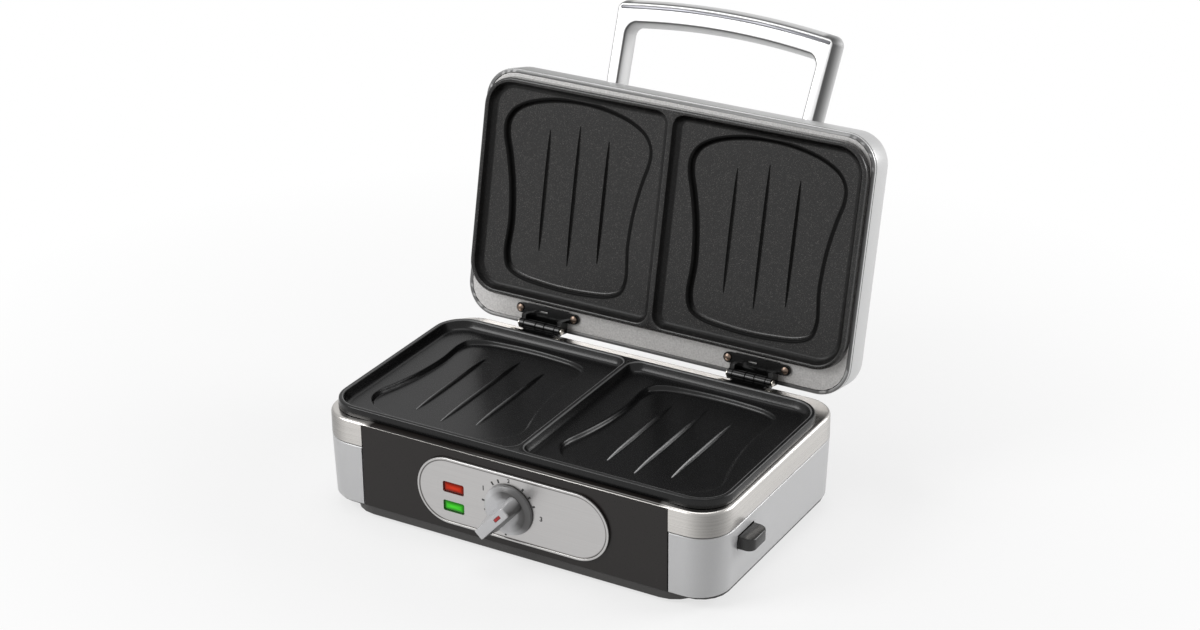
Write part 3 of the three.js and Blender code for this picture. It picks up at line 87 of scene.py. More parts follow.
def placeCamera():
    # on a sphere round the target, looking at its middle, then rolled about the line of sight
    azimuth, elevation, roll = (math.radians(camera[key]) for key in ("azimuth", "elevation", "roll"))
    back = Vector((
        math.sin(azimuth) * math.cos(elevation),
        -math.cos(azimuth) * math.cos(elevation),
        math.sin(elevation),
    ))
    right = Vector((0, 0, 1)).cross(back).normalized()
    up = back.cross(right)
    rolledRight = right * math.cos(roll) - up * math.sin(roll)
    rolledUp = right * math.sin(roll) + up * math.cos(roll)
    data = bpy.data.cameras.new("camera")
    data.lens, data.sensor_fit, data.sensor_width = camera["lens"], "HORIZONTAL", camera["sensor"]
    data.clip_start, data.clip_end = camera["clip"]
    eye = placeObject("camera", data)
    turn = Matrix((rolledRight, rolledUp, back)).transposed().to_4x4()
    eye.matrix_world = Matrix.Translation(Vector(camera["target"]) + back * camera["distance"]) @ turn
    bpy.context.scene.camera = eye


def placeLamps():
    # rectangular softboxes that face lampAim
    for lamp in lamps:
        data = bpy.data.lights.new(lamp["name"], "AREA")
        data.shape = "RECTANGLE"
        data.size, data.size_y = lamp["size"]
        data.energy = lamp["watts"]
        obj = placeObject(lamp["name"], data)
        obj.location = lamp["place"]
        obj.rotation_mode = "QUATERNION"
        obj.rotation_quaternion = (Vector(room["lampAim"]) - Vector(lamp["place"])).to_track_quat("-Z", "Y")


def setInputs(tree, node, values):
    # a value that is a socket is linked, any other is set
    for key, value in values.items():
        if isinstance(value, bpy.types.NodeSocket):
            tree.links.new(value, node.inputs[key])
        else:
            node.inputs[key].default_value = value


def addNode(tree, kind, values, operation=None):
    # a shader node with its operation, if it has one, and its inputs
    node = tree.nodes.new("ShaderNode" + kind)
    if operation:
        node.operation = operation
    setInputs(tree, node, values)
    return node


def mathNode(tree, operation, *values):
    # the inputs in order, each a socket or a number
    return addNode(tree, "Math", dict(enumerate(values)), operation).outputs[0]


def spread(tree, source, low, high, fromLow=0.3, fromHigh=0.7):
    # low at fromLow, high at fromHigh, in a straight line between them
    values = {"Value": source, "From Min": fromLow, "From Max": fromHigh, "To Min": low, "To Max": high}
    return addNode(tree, "MapRange", values).outputs["Result"]


def blendColour(tree, share, colour, other):
    # colour where share is 0, the plain colour other where it is 1
    node = tree.nodes.new("ShaderNodeMix")
    node.data_type = "RGBA"
    node.clamp_factor = True
    setInputs(tree, node, {0: share, 6: colour, 7: (*other, 1)})
    return node.outputs[2]


def seenRays(tree):
    # 1 for camera, glossy and transmission rays, 0 for the rest
    rays = tree.nodes.new("ShaderNodeLightPath").outputs
    direct = mathNode(tree, "MAXIMUM", rays["Is Camera Ray"], rays["Is Glossy Ray"])
    return mathNode(tree, "MAXIMUM", direct, rays["Is Transmission Ray"])


def emptyTree(owner):
    # the node tree of a material or a world, cleared
    owner.use_nodes = True
    owner.node_tree.nodes.clear()
    return owner.node_tree


def makeRoom():
    # a pale floor that keeps the object's shadow and shows as white paper further out
    half, height = room["floorHalf"], room["floorHeight"]
    mesh = bpy.data.meshes.new("tabletop")
    corners = [(-half, -half, height), (half, -half, height), (half, half, height), (-half, half, height)]
    mesh.from_pydata(corners, [], [(0, 1, 2, 3)])
    placeObject("tabletop", mesh)
    paper = bpy.data.materials.new("paper")
    mesh.materials.append(paper)
    tree = emptyTree(paper)
    place = tree.nodes.new("ShaderNodeTexCoord").outputs["Object"]
    reach = addNode(tree, "VectorMath", {0: place}, "LENGTH").outputs["Value"]
    whiter = spread(tree, reach, room["glowNear"], 1.0, *room["glowReach"])
    share = mathNode(tree, "MULTIPLY", seenRays(tree), whiter)
    matt = addNode(tree, "BsdfDiffuse", {"Color": (*room["floorColour"], 1)}).outputs[0]
    glow = addNode(tree, "Emission", {"Strength": 1.0}).outputs[0]
    blend = addNode(tree, "MixShader", {0: share, 1: matt, 2: glow}).outputs[0]
    addNode(tree, "OutputMaterial", {"Surface": blend})

    # a world that looks white and gives a softer light
    bpy.context.scene.world = bpy.data.worlds.new("studio")
    tree = emptyTree(bpy.context.scene.world)
    soft = addNode(tree, "Background", {"Strength": room["worldStrength"]}).outputs[0]
    white = addNode(tree, "Background", {"Strength": 1.0}).outputs[0]
    blend = addNode(tree, "MixShader", {0: seenRays(tree), 1: soft, 2: white}).outputs[0]
    addNode(tree, "OutputWorld", {"Surface": blend})


bpy.context.scene.view_settings.view_transform = "Standard"
placeCamera()
makeRoom()
placeLamps()
print("camera, room and lamps placed")


def coat(colour, metal, rough, grain, colourSpan, roughSpan, bump, specular=0.5, **more):
    # grain: waves per metre of the streaks or specks, one number or one each for x, y and z; colour and
    # rough vary by their spans, as shares; the painted values hold where the attribute that paints shade and
    # highlights is 1
    grain = grain if isinstance(grain, tuple) else (grain,) * 3
    return {"colour": colour, "metal": metal, "rough": rough, "grain": grain, "colourSpan": colourSpan,
            "roughSpan": roughSpan, "bump": bump, "specular": specular, **more}


# corner paints a dark reflection on rounded upright corners, strongest where they face halfway between front
# and side
finishes = {
    "silver_paint": coat((0.56, 0.56, 0.565), 0.35, 0.34, 2400, 0.05, 0.08, 0.01, corner=0.16),
    "lid_paint": coat((0.6, 0.6, 0.6), 0.35, 0.32, 2400, 0.05, 0.08, 0.01, corner=0.05,
        wornColour=(0.16, 0.16, 0.16), wornRough=0.32),
    "handle_paint": coat((0.78, 0.78, 0.78), 0.3, 0.34, 2400, 0.03, 0.08, 0.008,
        wornColour=(0.1, 0.1, 0.1), wornRough=0.4, wornMetal=0.0, wornSpecular=0.12),
    "inlay_silver": coat((0.2, 0.2, 0.215), 0.8, 0.3, 1500, 0.05, 0.08, 0.01),
    "brushed_steel": coat((0.64, 0.62, 0.595), 1.0, 0.3, (9, 9, 5200), 0.14, 0.2, 0.02,
        corner=0.6, flatRough=0.6,
        wornColour=(0.012, 0.01, 0.009), wornRough=0.45, wornMetal=0.0, wornSpecular=0.12),
    "panel_steel": coat((0.54, 0.53, 0.525), 1.0, 0.36, (14, 14, 6200), 0.07, 0.2, 0.015,
        wornColour=(0.06, 0.055, 0.05), wornRough=0.3),
    "sheet_steel": coat((0.55, 0.55, 0.55), 1.0, 0.3, (30, 700, 700), 0.1, 0.15, 0.02),
    "fascia_plastic": coat((0.0098, 0.0072, 0.0062), 0.0, 0.3, 1500, 0.15, 0.12, 0.02, specular=0.38),
    "tray_paint": coat((0.055, 0.053, 0.052), 0.3, 0.42, 1300, 0.15, 0.12, 0.03),
    "black_plastic": coat((0.012, 0.011, 0.011), 0.0, 0.45, 1400, 0.2, 0.15, 0.05),
    "button_plastic": coat((0.009, 0.0085, 0.008), 0.0, 0.22, 1400, 0.2, 0.12, 0.02),
    # one coating on both plates: the lower plate's copy is painted darker, its specks too, as shade, and gets
    # painted highlights; the upper plate's copy gets painted shade
    "non_stick": coat((0.0022, 0.0022, 0.0024), 0.0, 0.25, 1700, 0.5, 0.2, 0.035, specular=0.34,
        speckColour=(0.01, 0.01, 0.01), wornColour=(0.5, 0.5, 0.5), wornRough=0.3),
    "non_stick_upper": coat((0.0065, 0.006, 0.0058), 0.0, 0.26, 2500, 0.6, 0.25, 0.09,
        speckColour=(0.14, 0.132, 0.125), wornColour=(0.0015, 0.0015, 0.0015),
        wornRough=0.45, wornSpecular=0.04),
    "liner_paint": coat((0.62, 0.61, 0.6), 0.45, 0.38, 900, 0.16, 0.15, 0.05),
    "zinc_black": coat((0.004, 0.004, 0.004), 0.2, 0.15, 700, 0.3, 0.12, 0.03),
    "bright_steel": coat((0.5, 0.47, 0.42), 1.0, 0.22, 500, 0.12, 0.1, 0.02),
    "bronze_screw": coat((0.2, 0.15, 0.12), 1.0, 0.34, 500, 0.12, 0.1, 0.02),
    "element_sheath": coat((0.12, 0.11, 0.105), 0.8, 0.5, 300, 0.4, 0.2, 0.05),
    "knob_plastic": coat((0.54, 0.54, 0.55), 0.45, 0.34, 2200, 0.05, 0.1, 0.015,
        wornColour=(0.03, 0.028, 0.026), wornRough=0.3),
    "black_rubber": coat((0.012, 0.012, 0.012), 0.0, 0.75, 900, 0.3, 0.1, 0.06),
    "printed_black": coat((0.02, 0.02, 0.02), 0.0, 0.5, 2500, 0.3, 0.1, 0.01),
    "red_lens": coat((0.24, 0.012, 0.006), 0.0, 0.2, (260, 260, 900), 0.3, 0.08, 0.05, specular=0.12,
        glow=(1.0, 0.05, 0.004), glowStrength=0.44, wornColour=(0.05, 0.002, 0.001), wornRough=0.25),
    "green_lens": coat((0.03, 0.2, 0.02), 0.0, 0.2, (260, 260, 900), 0.3, 0.08, 0.05, specular=0.12,
        glow=(0.07, 0.9, 0.025), glowStrength=0.62, wornColour=(0.005, 0.04, 0.005), wornRough=0.25),
    "red_mark": coat((0.4, 0.012, 0.012), 0.0, 0.4, 800, 0.15, 0.1, 0.02),
    "lamp_glass": coat((0.9, 0.6, 0.4), 0.0, 0.1, 300, 0.1, 0.05, 0.01),
    "pale_phenolic": coat((0.55, 0.5, 0.42), 0.0, 0.5, 900, 0.12, 0.1, 0.03),
}
texture = {
    # every finish's noise and the depth of its relief in metres, a lens's glow at its edge, which is painted
    # darker, as a share, the specks' cells and sizes, and how soon smoothness sets in as a surface turns flat
    "noise": {"Scale": 1.0, "Detail": 3.0, "Roughness": 0.6}, "reliefDepth": 0.0006, "glowEdge": 0.25,
    "speckCells": 0.8, "speckRarity": 0.72, "speckRadius": 0.34, "flatPower": 4.0,
}


def makeFinish(name, look):
    # noise at the finish's own grain varies colour, roughness and bump; the other keys add to that
    material = bpy.data.materials.new(name)
    material.use_nodes = True
    tree = material.node_tree
    shader = tree.nodes["Principled BSDF"]
    setInputs(tree, shader, {"Metallic": look["metal"], "Specular IOR Level": look["specular"]})
    place = tree.nodes.new("ShaderNodeTexCoord").outputs["Object"]
    place = addNode(tree, "Mapping", {"Vector": place, "Scale": look["grain"]}).outputs["Vector"]
    grain = addNode(tree, "TexNoise", {"Vector": place, **texture["noise"]}).outputs["Fac"]
    tint, rough = (
        spread(tree, grain, middle * (1 - look[span]), middle * (1 + look[span]))
        for middle, span in ((1.0, "colourSpan"), (look["rough"], "roughSpan"))
    )
    if "corner" in look or "flatRough" in look:
        facing = tree.nodes.new("ShaderNodeNewGeometry").outputs["Normal"]
        axes = addNode(tree, "SeparateXYZ", {0: facing}).outputs
    if "corner" in look:
        # painted reflection: rounded corners are darkened as if they mirrored the darker side of the room
        slant = mathNode(tree, "ABSOLUTE", mathNode(tree, "MULTIPLY", axes["X"], axes["Y"]))
        shade = mathNode(tree, "MULTIPLY", slant, -2 * look["corner"])
        tint = mathNode(tree, "MULTIPLY", tint, mathNode(tree, "ADD", shade, 1.0))
    if "flatRough" in look:
        # the ledge is smoother than the upright sides
        flat = mathNode(tree, "POWER", mathNode(tree, "MAXIMUM", axes["Z"], 0.0), texture["flatPower"])
        change = mathNode(tree, "MULTIPLY_ADD", flat, look["flatRough"] - 1, 1.0)
        rough = mathNode(tree, "MULTIPLY", rough, change)
    colour = addNode(tree, "VectorMath", {0: look["colour"], "Scale": tint}, "SCALE").outputs["Vector"]
    if "speckColour" in look:
        # one small light speck in a few of the coating's cells
        cells = addNode(tree, "TexVoronoi", {"Vector": place, "Scale": texture["speckCells"]}).outputs
        pick = addNode(tree, "SeparateColor", {0: cells["Color"]}).outputs[0]
        chosen = mathNode(tree, "GREATER_THAN", pick, texture["speckRarity"])
        near = mathNode(tree, "LESS_THAN", cells["Distance"], texture["speckRadius"])
        colour = blendColour(tree, mathNode(tree, "MULTIPLY", chosen, near), colour, look["speckColour"])
    # painted shade and painted highlights: where the mesh's attribute is 1 the colour and roughness, and below
    # the specular level, metal and a lens's glow, take their painted values
    if "wornColour" in look:
        wear = tree.nodes.new("ShaderNodeAttribute")
        wear.attribute_name = "wear"
        worn = wear.outputs["Fac"]
        colour = blendColour(tree, worn, colour, look["wornColour"])
        change = mathNode(tree, "SUBTRACT", look["wornRough"], rough)
        rough = mathNode(tree, "MULTIPLY_ADD", change, worn, rough)
    if "wornSpecular" in look:
        shine = spread(tree, worn, look["specular"], look["wornSpecular"], 0.0, 1.0)
        setInputs(tree, shader, {"Specular IOR Level": shine})
    if "wornMetal" in look:
        metal = spread(tree, worn, look["metal"], look["wornMetal"], 0.0, 1.0)
        setInputs(tree, shader, {"Metallic": metal})
    if "glow" in look:
        lit = spread(tree, worn, look["glowStrength"], look["glowStrength"] * texture["glowEdge"], 0.0, 1.0)
        setInputs(tree, shader, {"Emission Color": (*look["glow"], 1), "Emission Strength": lit})
    relief = {"Height": grain, "Strength": look["bump"], "Distance": texture["reliefDepth"]}
    normal = addNode(tree, "Bump", relief).outputs["Normal"]
    setInputs(tree, shader, {"Base Color": colour, "Roughness": rough, "Normal": normal})
    return material


materials = {name: makeFinish(name, look) for name, look in finishes.items()}
slotOf = {entry["node"]: entry["material_slot"] for entry in frame["record"]["subparts"]}
for node, obj in frame["nodes"].items():
    for slot in obj.material_slots:
        slot.material = materials[slotOf[node]]
print("finishes made:", len(materials))


# Every shape below is worked out in millimetres, with the lid down; turnOpen lifts what belongs to the lid.
hinge = {"y": 83.8, "z": 70.2, "openDegrees": 102.46}
metresPerMillimetre = 0.001
mergeDistance = 1e-6  # metres
overrun = 2.0  # how far a cutter stands out of the face that it cuts


def turnOpen(points):
    # a turn about the line along x through the hinge pins
    angle = -math.radians(hinge["openDegrees"])
    y, z = points[:, 1] - hinge["y"], points[:, 2] - hinge["z"]
    return np.column_stack([
        points[:, 0],
        hinge["y"] + y * math.cos(angle) - z * math.sin(angle),
        hinge["z"] + y * math.sin(angle) + z * math.cos(angle),
    ])


def mirrorX(points):
    # the same shape on the other side of the middle, x turned to -x
    return points * (-1, 1, 1)


def roundedRing(halfX, halfY, radii, centre=(0.0, 0.0), cornerSteps=10, sideSteps=1):
    # a quarter circle at each corner with evenly spaced points along the sides between them,
    # counter-clockwise; radii run front left, front right, rear right, rear left
    radii = np.broadcast_to(np.asarray(radii, float), 4)
    signs = np.array([(-1, -1), (1, -1), (1, 1), (-1, 1)], float)
    angle = np.pi + (np.arange(4)[:, None] + np.linspace(0, 1, cornerSteps + 1)) * np.pi / 2
    arcs = np.stack([
        (signs[:, 0] * (halfX - radii))[:, None] + radii[:, None] * np.cos(angle),
        (signs[:, 1] * (halfY - radii))[:, None] + radii[:, None] * np.sin(angle),
    ], axis=-1)
    share = (np.arange(1, sideSteps) / sideSteps)[None, :, None]
    sides = arcs[:, -1:] * (1 - share) + np.roll(arcs[:, :1], -1, axis=0) * share
    return np.concatenate([arcs, sides], axis=1).reshape(-1, 2) + np.asarray(centre)


def offsetRing(ring, distance):
    # each point moves along the mean of its two edges' outward normals, far enough to shift both
    # edges by distance
    before = ring - np.roll(ring, 1, axis=0)
    after = np.roll(ring, -1, axis=0) - ring
    before /= np.linalg.norm(before, axis=1, keepdims=True)
    after /= np.linalg.norm(after, axis=1, keepdims=True)
    normal = np.stack([before[:, 1] + after[:, 1], -before[:, 0] - after[:, 0]], axis=1)
    normal /= np.linalg.norm(normal, axis=1, keepdims=True)
    share = normal[:, 0] * before[:, 1] - normal[:, 1] * before[:, 0]
    return ring + normal * (distance / share)[:, None]


def closedCurve(points, stepsPerSpan):
    # a smooth closed curve through the points: on each span a cubic whose end slopes come from
    # three neighbouring points, spaced by the square root of their distances
    p0, p1, p2, p3 = (np.roll(points, shift, axis=0) for shift in (1, 0, -1, -2))
    gap = [np.sqrt(np.linalg.norm(b - a, axis=1))[:, None] for a, b in ((p0, p1), (p1, p2), (p2, p3))]
    slopeStart = gap[1] * ((p1 - p0) / gap[0] - (p2 - p0) / (gap[0] + gap[1]) + (p2 - p1) / gap[1])
    slopeEnd = gap[1] * ((p2 - p1) / gap[1] - (p3 - p1) / (gap[1] + gap[2]) + (p3 - p2) / gap[2])
    t = (np.arange(stepsPerSpan) / stepsPerSpan)[None, :, None]
    curve = (
        (2 * t**3 - 3 * t**2 + 1) * p1[:, None] + (t**3 - 2 * t**2 + t) * slopeStart[:, None]
        + (3 * t**2 - 2 * t**3) * p2[:, None] + (t**3 - t**2) * slopeEnd[:, None]
    )
    return curve.reshape(-1, points.shape[1])


def arc(start, end, middle, steps):
    # a quarter of an ellipse from start to end that bulges towards the corner point middle
    turn = np.linspace(0, np.pi / 2, steps + 1)[:, None]
    start, end, middle = (np.asarray(p, float) for p in (start, end, middle))
    heart = start + end - middle
    return heart + (start - heart) * np.cos(turn) + (end - heart) * np.sin(turn)


def skin(rings, start="", end="", wear=0.0):
    # rings is rows x columns x 3, each row a closed outline: neighbouring rows and columns are joined by
    # four-sided faces; an end is open, or closed by one flat face ("flat") or a fan to its middle ("fan")
    rows, columns = rings.shape[:2]
    index = np.arange(rows * columns).reshape(rows, columns)
    low, high = index[:-1], index[1:]
    corners = [low, np.roll(low, -1, axis=1), np.roll(high, -1, axis=1), high]
    quads = np.stack(corners, axis=-1).reshape(-1, 4)
    points = rings.reshape(-1, 3)
    triangles, flats = [np.zeros((0, 3), int)], []
    for kind, edge in ((start, index[0]), (end, index[-1])):
        if kind == "flat":
            flats.append(edge)
        elif kind == "fan":
            middle = len(points)
            points = np.vstack([points, points[edge].mean(axis=0)])
            triangles.append(np.stack([edge, np.roll(edge, -1), np.full(columns, middle)], axis=-1))
    worn = np.zeros(len(points))
    worn[:rows * columns] = np.broadcast_to(wear, (rows, columns)).ravel()
    return {"points": points, "quads": quads, "triangles": np.vstack(triangles), "flats": flats, "wear": worn}


def level(ring, z):
    # a flat outline lifted to the height z
    return np.column_stack([ring, np.full(len(ring), float(z))])


def stacked(levels, start="flat", end="flat", wear=0.0):
    # flat outlines of equal length, each with its height; the painted shade and highlights are one share for
    # each or for each point
    wear = np.asarray(wear, float)
    wear = wear[:, None] if wear.ndim == 1 else wear
    return skin(np.stack([level(ring, z) for ring, z in levels]), start, end, wear)


def cuboid(low, high):
    # the rectangle between the two corners, at the height of each
    corners = np.array([(low[0], low[1]), (high[0], low[1]), (high[0], high[1]), (low[0], high[1])], float)
    return stacked([(corners, low[2]), (corners, high[2])])


def moved(part, change):
    # the same faces with change applied to the array of points
    return {**part, "points": change(part["points"])}


def cleanMesh(mesh, fromCad=False):
    # merges doubles, then joins the flat faces of a CAD copy or turns the faces of a new mesh outwards
    work = bmesh.new()
    work.from_mesh(mesh)
    bmesh.ops.remove_doubles(work, verts=work.verts, dist=mergeDistance)
    if fromCad:
        bmesh.ops.dissolve_limit(work, angle_limit=math.radians(1), verts=work.verts, edges=work.edges)
    else:
        bmesh.ops.dissolve_degenerate(work, edges=work.edges, dist=mergeDistance)
        bmesh.ops.recalc_face_normals(work, faces=work.faces)
    work.to_mesh(mesh)
    work.free()
    return mesh


def meshOf(name, parts):
    # the parts side by side in one mesh, in metres, with their shares of painted shade and highlights
    offset = np.cumsum([0] + [len(part["points"]) for part in parts[:-1]])
    points = np.vstack([part["points"] for part in parts]) * metresPerMillimetre
    faces = []
    for part, first in zip(parts, offset):
        faces += (part["quads"] + first).tolist() + (part["triangles"] + first).tolist()
        faces += [(flat + first).tolist() for flat in part["flats"]]
    mesh = bpy.data.meshes.new(name)
    mesh.from_pydata(points.tolist(), [], faces)
    worn = mesh.attributes.new("wear", "FLOAT", "POINT")
    worn.data.foreach_set("value", np.concatenate([part["wear"] for part in parts]))
    return cleanMesh(mesh)


def evaluatedMesh(obj):
    # a mesh of the object as its modifiers leave it
    return bpy.data.meshes.new_from_object(obj.evaluated_get(bpy.context.evaluated_depsgraph_get()))


def carve(obj, tools):
    # cuts each tool out of the piece and keeps the mesh that results
    for part in tools:
        cutter = placeObject("cutter", meshOf("cutter", [part]))
        cut = obj.modifiers.new("cut", "BOOLEAN")
        cut.operation, cut.solver, cut.object = "DIFFERENCE", "EXACT", cutter
        result = evaluatedMesh(obj)
        obj.modifiers.remove(cut)
        obj.data = result
        bpy.data.objects.remove(cutter)


def finishPiece(obj, body, node, finish, creaseDegrees):
    # smooth shading between creases, the finish, the body it rides on and the node it stands for
    mesh = obj.data
    mesh.name = obj.name
    mesh.materials.clear()
    mesh.materials.append(materials[finish])
    mesh.polygons.foreach_set("use_smooth", np.ones(len(mesh.polygons), bool))
    mesh.set_sharp_from_angle(angle=math.radians(creaseDegrees))
    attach(obj, body)
    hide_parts(node)
    return obj


def makePiece(name, parts, body, node, finish, holes=(), creaseDegrees=30):
    # a new piece in a CAD node's place; what belongs to the lid is turned open with it
    if body in ("lid", "upper_release"):
        parts = [moved(part, turnOpen) for part in parts]
        holes = [moved(part, turnOpen) for part in holes]
    obj = placeObject(name, meshOf(name, parts))
    carve(obj, holes)
    return finishPiece(obj, body, node, finish, creaseDegrees)


def softCopy(name, node, body, finish, edge=None, creaseDegrees=32):
    # a merged copy of a CAD node; edge rounds its edges: millimetres, segments, least angle in degrees
    obj = placeObject(name, cleanMesh(frame["nodes"][node].data.copy(), fromCad=True))
    if edge:
        width, segments, degrees = edge
        bevel = obj.modifiers.new("softEdges", "BEVEL")
        bevel.width, bevel.segments = width * metresPerMillimetre, segments
        bevel.limit_method, bevel.angle_limit = "ANGLE", math.radians(degrees)
        bevel.harden_normals, bevel.use_clamp_overlap = True, True
    return finishPiece(obj, body, node, finish, creaseDegrees)


housing = {"halfWidth": 145.0, "halfDepth": 86.65, "cornerRadius": 22.0}


def housingRing(inset, radius=None, lean=0.0, **steps):
    # the housing's rounded outline moved in by inset, and its two sides by lean as well
    radius = housing["cornerRadius"] - inset if radius is None else radius
    return roundedRing(housing["halfWidth"] - inset - lean, housing["halfDepth"] - inset, radius, **steps)


plate = {
    "halfX": 142.5, "halfY": 75.55, "centreY": -6.1, "cornerRadius": 21.5, "cornerSteps": 10, "sideSteps": 26,
    "panHalfX": 68.85, "panX": 70.45, "panInnerRadius": 9.0, "panLeastRadius": 3.0, "rimWidth": 3.2,
    "lowerRim": 72.4, "upperRim": 72.7,
    # (inset from the pan's mouth, height) from the rim's flat top down to the pan's floor
    "panProfile": [
        (-0.9, 0), (-0.45, -0.03), (-0.1, -0.16), (0.14, -0.4), (0.3, -0.8), (1.05, -2.5), (1.5, -3.5),
        (2.0, -4.4), (2.7, -5.15), (3.5, -5.65), (4.4, -5.93), (5.3, -6),
    ],
    # (inset from the plate's outline, height) from the rim's flat top down the skirt to the underside
    "skirtProfile": [
        (1.7, 0), (1.2, -0.07), (0.8, -0.26), (0.5, -0.58), (0.34, -1.05), (0.28, -1.7), (0.02, -5.9),
        (0.08, -6.2), (0.3, -6.3), (5.9, -6.3), (5.9, -8.5),
    ],
    "pocketX": 70.95, "pocketHalfWidth": 56.95, "pocketFront": -72.75, "pocketRear": 57.95,
    "pocketDepth": 3.0, "pocketSlope": 2.5, "pocketSteps": 40, "floor": -6.0,
    # (share of the slope, share of the depth) from outside the pocket's brim to past its foot
    "pocketWall": [
        (-0.6, 0), (-0.35, 0), (0, 0), (0.1, 0.03), (0.2, 0.1), (0.3, 0.24), (0.4, 0.45), (0.5, 0.66),
        (0.62, 0.84), (0.78, 0.96), (1, 1), (1.3, 1),
    ],
    # (distance outside the pocket, height below the plate's underside) of the casting behind it
    "pocketBack": [(2.5, 0.0), (1.25, 1.75), (0.0, 3.0)],
    # (across, along) from the hinge side's middle to the crown's middle, as shares of half width and length
    "pocketShares": [
        (0, 0), (0.32, 0.006), (0.62, 0.024), (0.78, 0.06), (0.835, 0.13), (0.815, 0.31), (0.85, 0.5),
        (0.925, 0.66), (0.985, 0.755), (0.985, 0.83), (0.9, 0.895), (0.72, 0.945), (0.4, 0.985), (0, 1),
    ],
    "ribPitch": 22.8, "ribLengths": (88.0, 101.0, 88.0), "ribHalfWidth": 1.4, "ribHeight": 2.0,
    "ribSteps": 48, "ribAcross": 9, "ribPowers": (0.5, 4, 0.75), "ribShift": -1.3, "ribSink": 0.1,
    # the lower plate gets painted highlights on its rims and ribs, on the ribs most of all at the front; the
    # upper plate gets painted shade in its grooves and on its ribs, but for the foot of the pocket's wall
    # beside the hinges
    "lowerShade": {"rim": 0.3, "pan": 0.0, "pocket": 0.0, "ribFade": (0.35, -0.65), "ribPower": 3},
    "upperShade": {"rim": 0.0, "pan": 0.6, "pocket": 0.9, "ribFade": (1.0, 0.0), "ribPower": 1},
    "crestShade": 0.02, "rimSpan": (-0.5, 0.2), "panSpan": (0.2, 5.0), "pocketSpan": (-0.4, 1.1),
    # from this share of the slope down, the wall's painted shade fades out from (y, over this run)
    "footFrom": 0.35, "footLit": (47.0, 6.0),
}


def halfRing(inset, innerX=0.0, innerRadius=0.0):
    # the right half of the plate's outline: round outer corners, and innerX and innerRadius by the divider
    outerX = plate["halfX"] - inset
    outerRadius = plate["cornerRadius"] - inset
    return roundedRing((outerX - innerX) / 2, plate["halfY"] - inset,
                       [innerRadius, outerRadius, outerRadius, innerRadius],
                       ((outerX + innerX) / 2, plate["centreY"]), plate["cornerSteps"], plate["sideSteps"])


def panRing(inset):
    # the pan's mouth moved in by inset, its corners by the divider never sharper than the least radius
    return halfRing(plate["rimWidth"] + inset, plate["panX"] - plate["panHalfX"] + inset,
                    max(plate["panInnerRadius"] - inset, plate["panLeastRadius"]))


def pocketRing(inset, around):
    # the slice outline, sampled in the directions in which the points of around lie from its middle
    half = np.array(plate["pocketShares"])
    length = plate["pocketRear"] - plate["pocketFront"]
    half = np.column_stack([half[:, 0] * plate["pocketHalfWidth"], plate["pocketRear"] - half[:, 1] * length])
    middle = np.array([0.0, (plate["pocketFront"] + plate["pocketRear"]) / 2])
    curve = closedCurve(np.vstack([half, half[-2:0:-1] * (-1, 1)]), plate["pocketSteps"]) - middle
    angle = np.arctan2(curve[:, 1], curve[:, 0])
    order = np.argsort(angle)
    toward = around - middle - (plate["pocketX"], 0)
    wanted = np.arctan2(toward[:, 1], toward[:, 0])
    radius = np.interp(wanted, angle[order], np.linalg.norm(curve, axis=1)[order], period=2 * np.pi)
    ring = np.column_stack([radius * np.cos(wanted), radius * np.sin(wanted)])
    return offsetRing(ring, -inset) + middle + (plate["pocketX"], 0)


def rib(x, length, shade):
    # lens-shaped in plan, width and height falling to nothing at both ends, with a rounded crest: each
    # cross-section is a power of a raised cosine on a flat foot just under the pocket's floor
    plan, fall, crest = plate["ribPowers"]
    along = np.linspace(-1, 1, plate["ribSteps"] + 1)[1:-1]
    width = plate["ribHalfWidth"] * (1 - along**2) ** plan
    height = plate["ribHeight"] * (1 - np.abs(along) ** fall)
    across = np.linspace(-1, 1, plate["ribAcross"])
    rise = np.append((0.5 + 0.5 * np.cos(np.pi * across)) ** crest, 0.0)
    across = np.append(across, 0.0)
    foot = plate["floor"] - plate["pocketDepth"]
    rings = np.stack(np.broadcast_arrays(
        x + width[:, None] * across,
        plate["centreY"] + plate["ribShift"] + (along * length / 2)[:, None],
        foot - plate["ribSink"] + height[:, None] * rise + plate["ribSink"] * (rise > 0),
    ), axis=-1)
    # painted highlights on the lower plate's ribs, strongest at their front ends, and painted shade on the
    # upper plate's, both strongest towards the crest
    first, change = shade["ribFade"]
    worn = np.clip(first + change * along, 0, 1)[:, None] * rise ** shade["ribPower"]
    return skin(rings, "fan", "fan", worn)


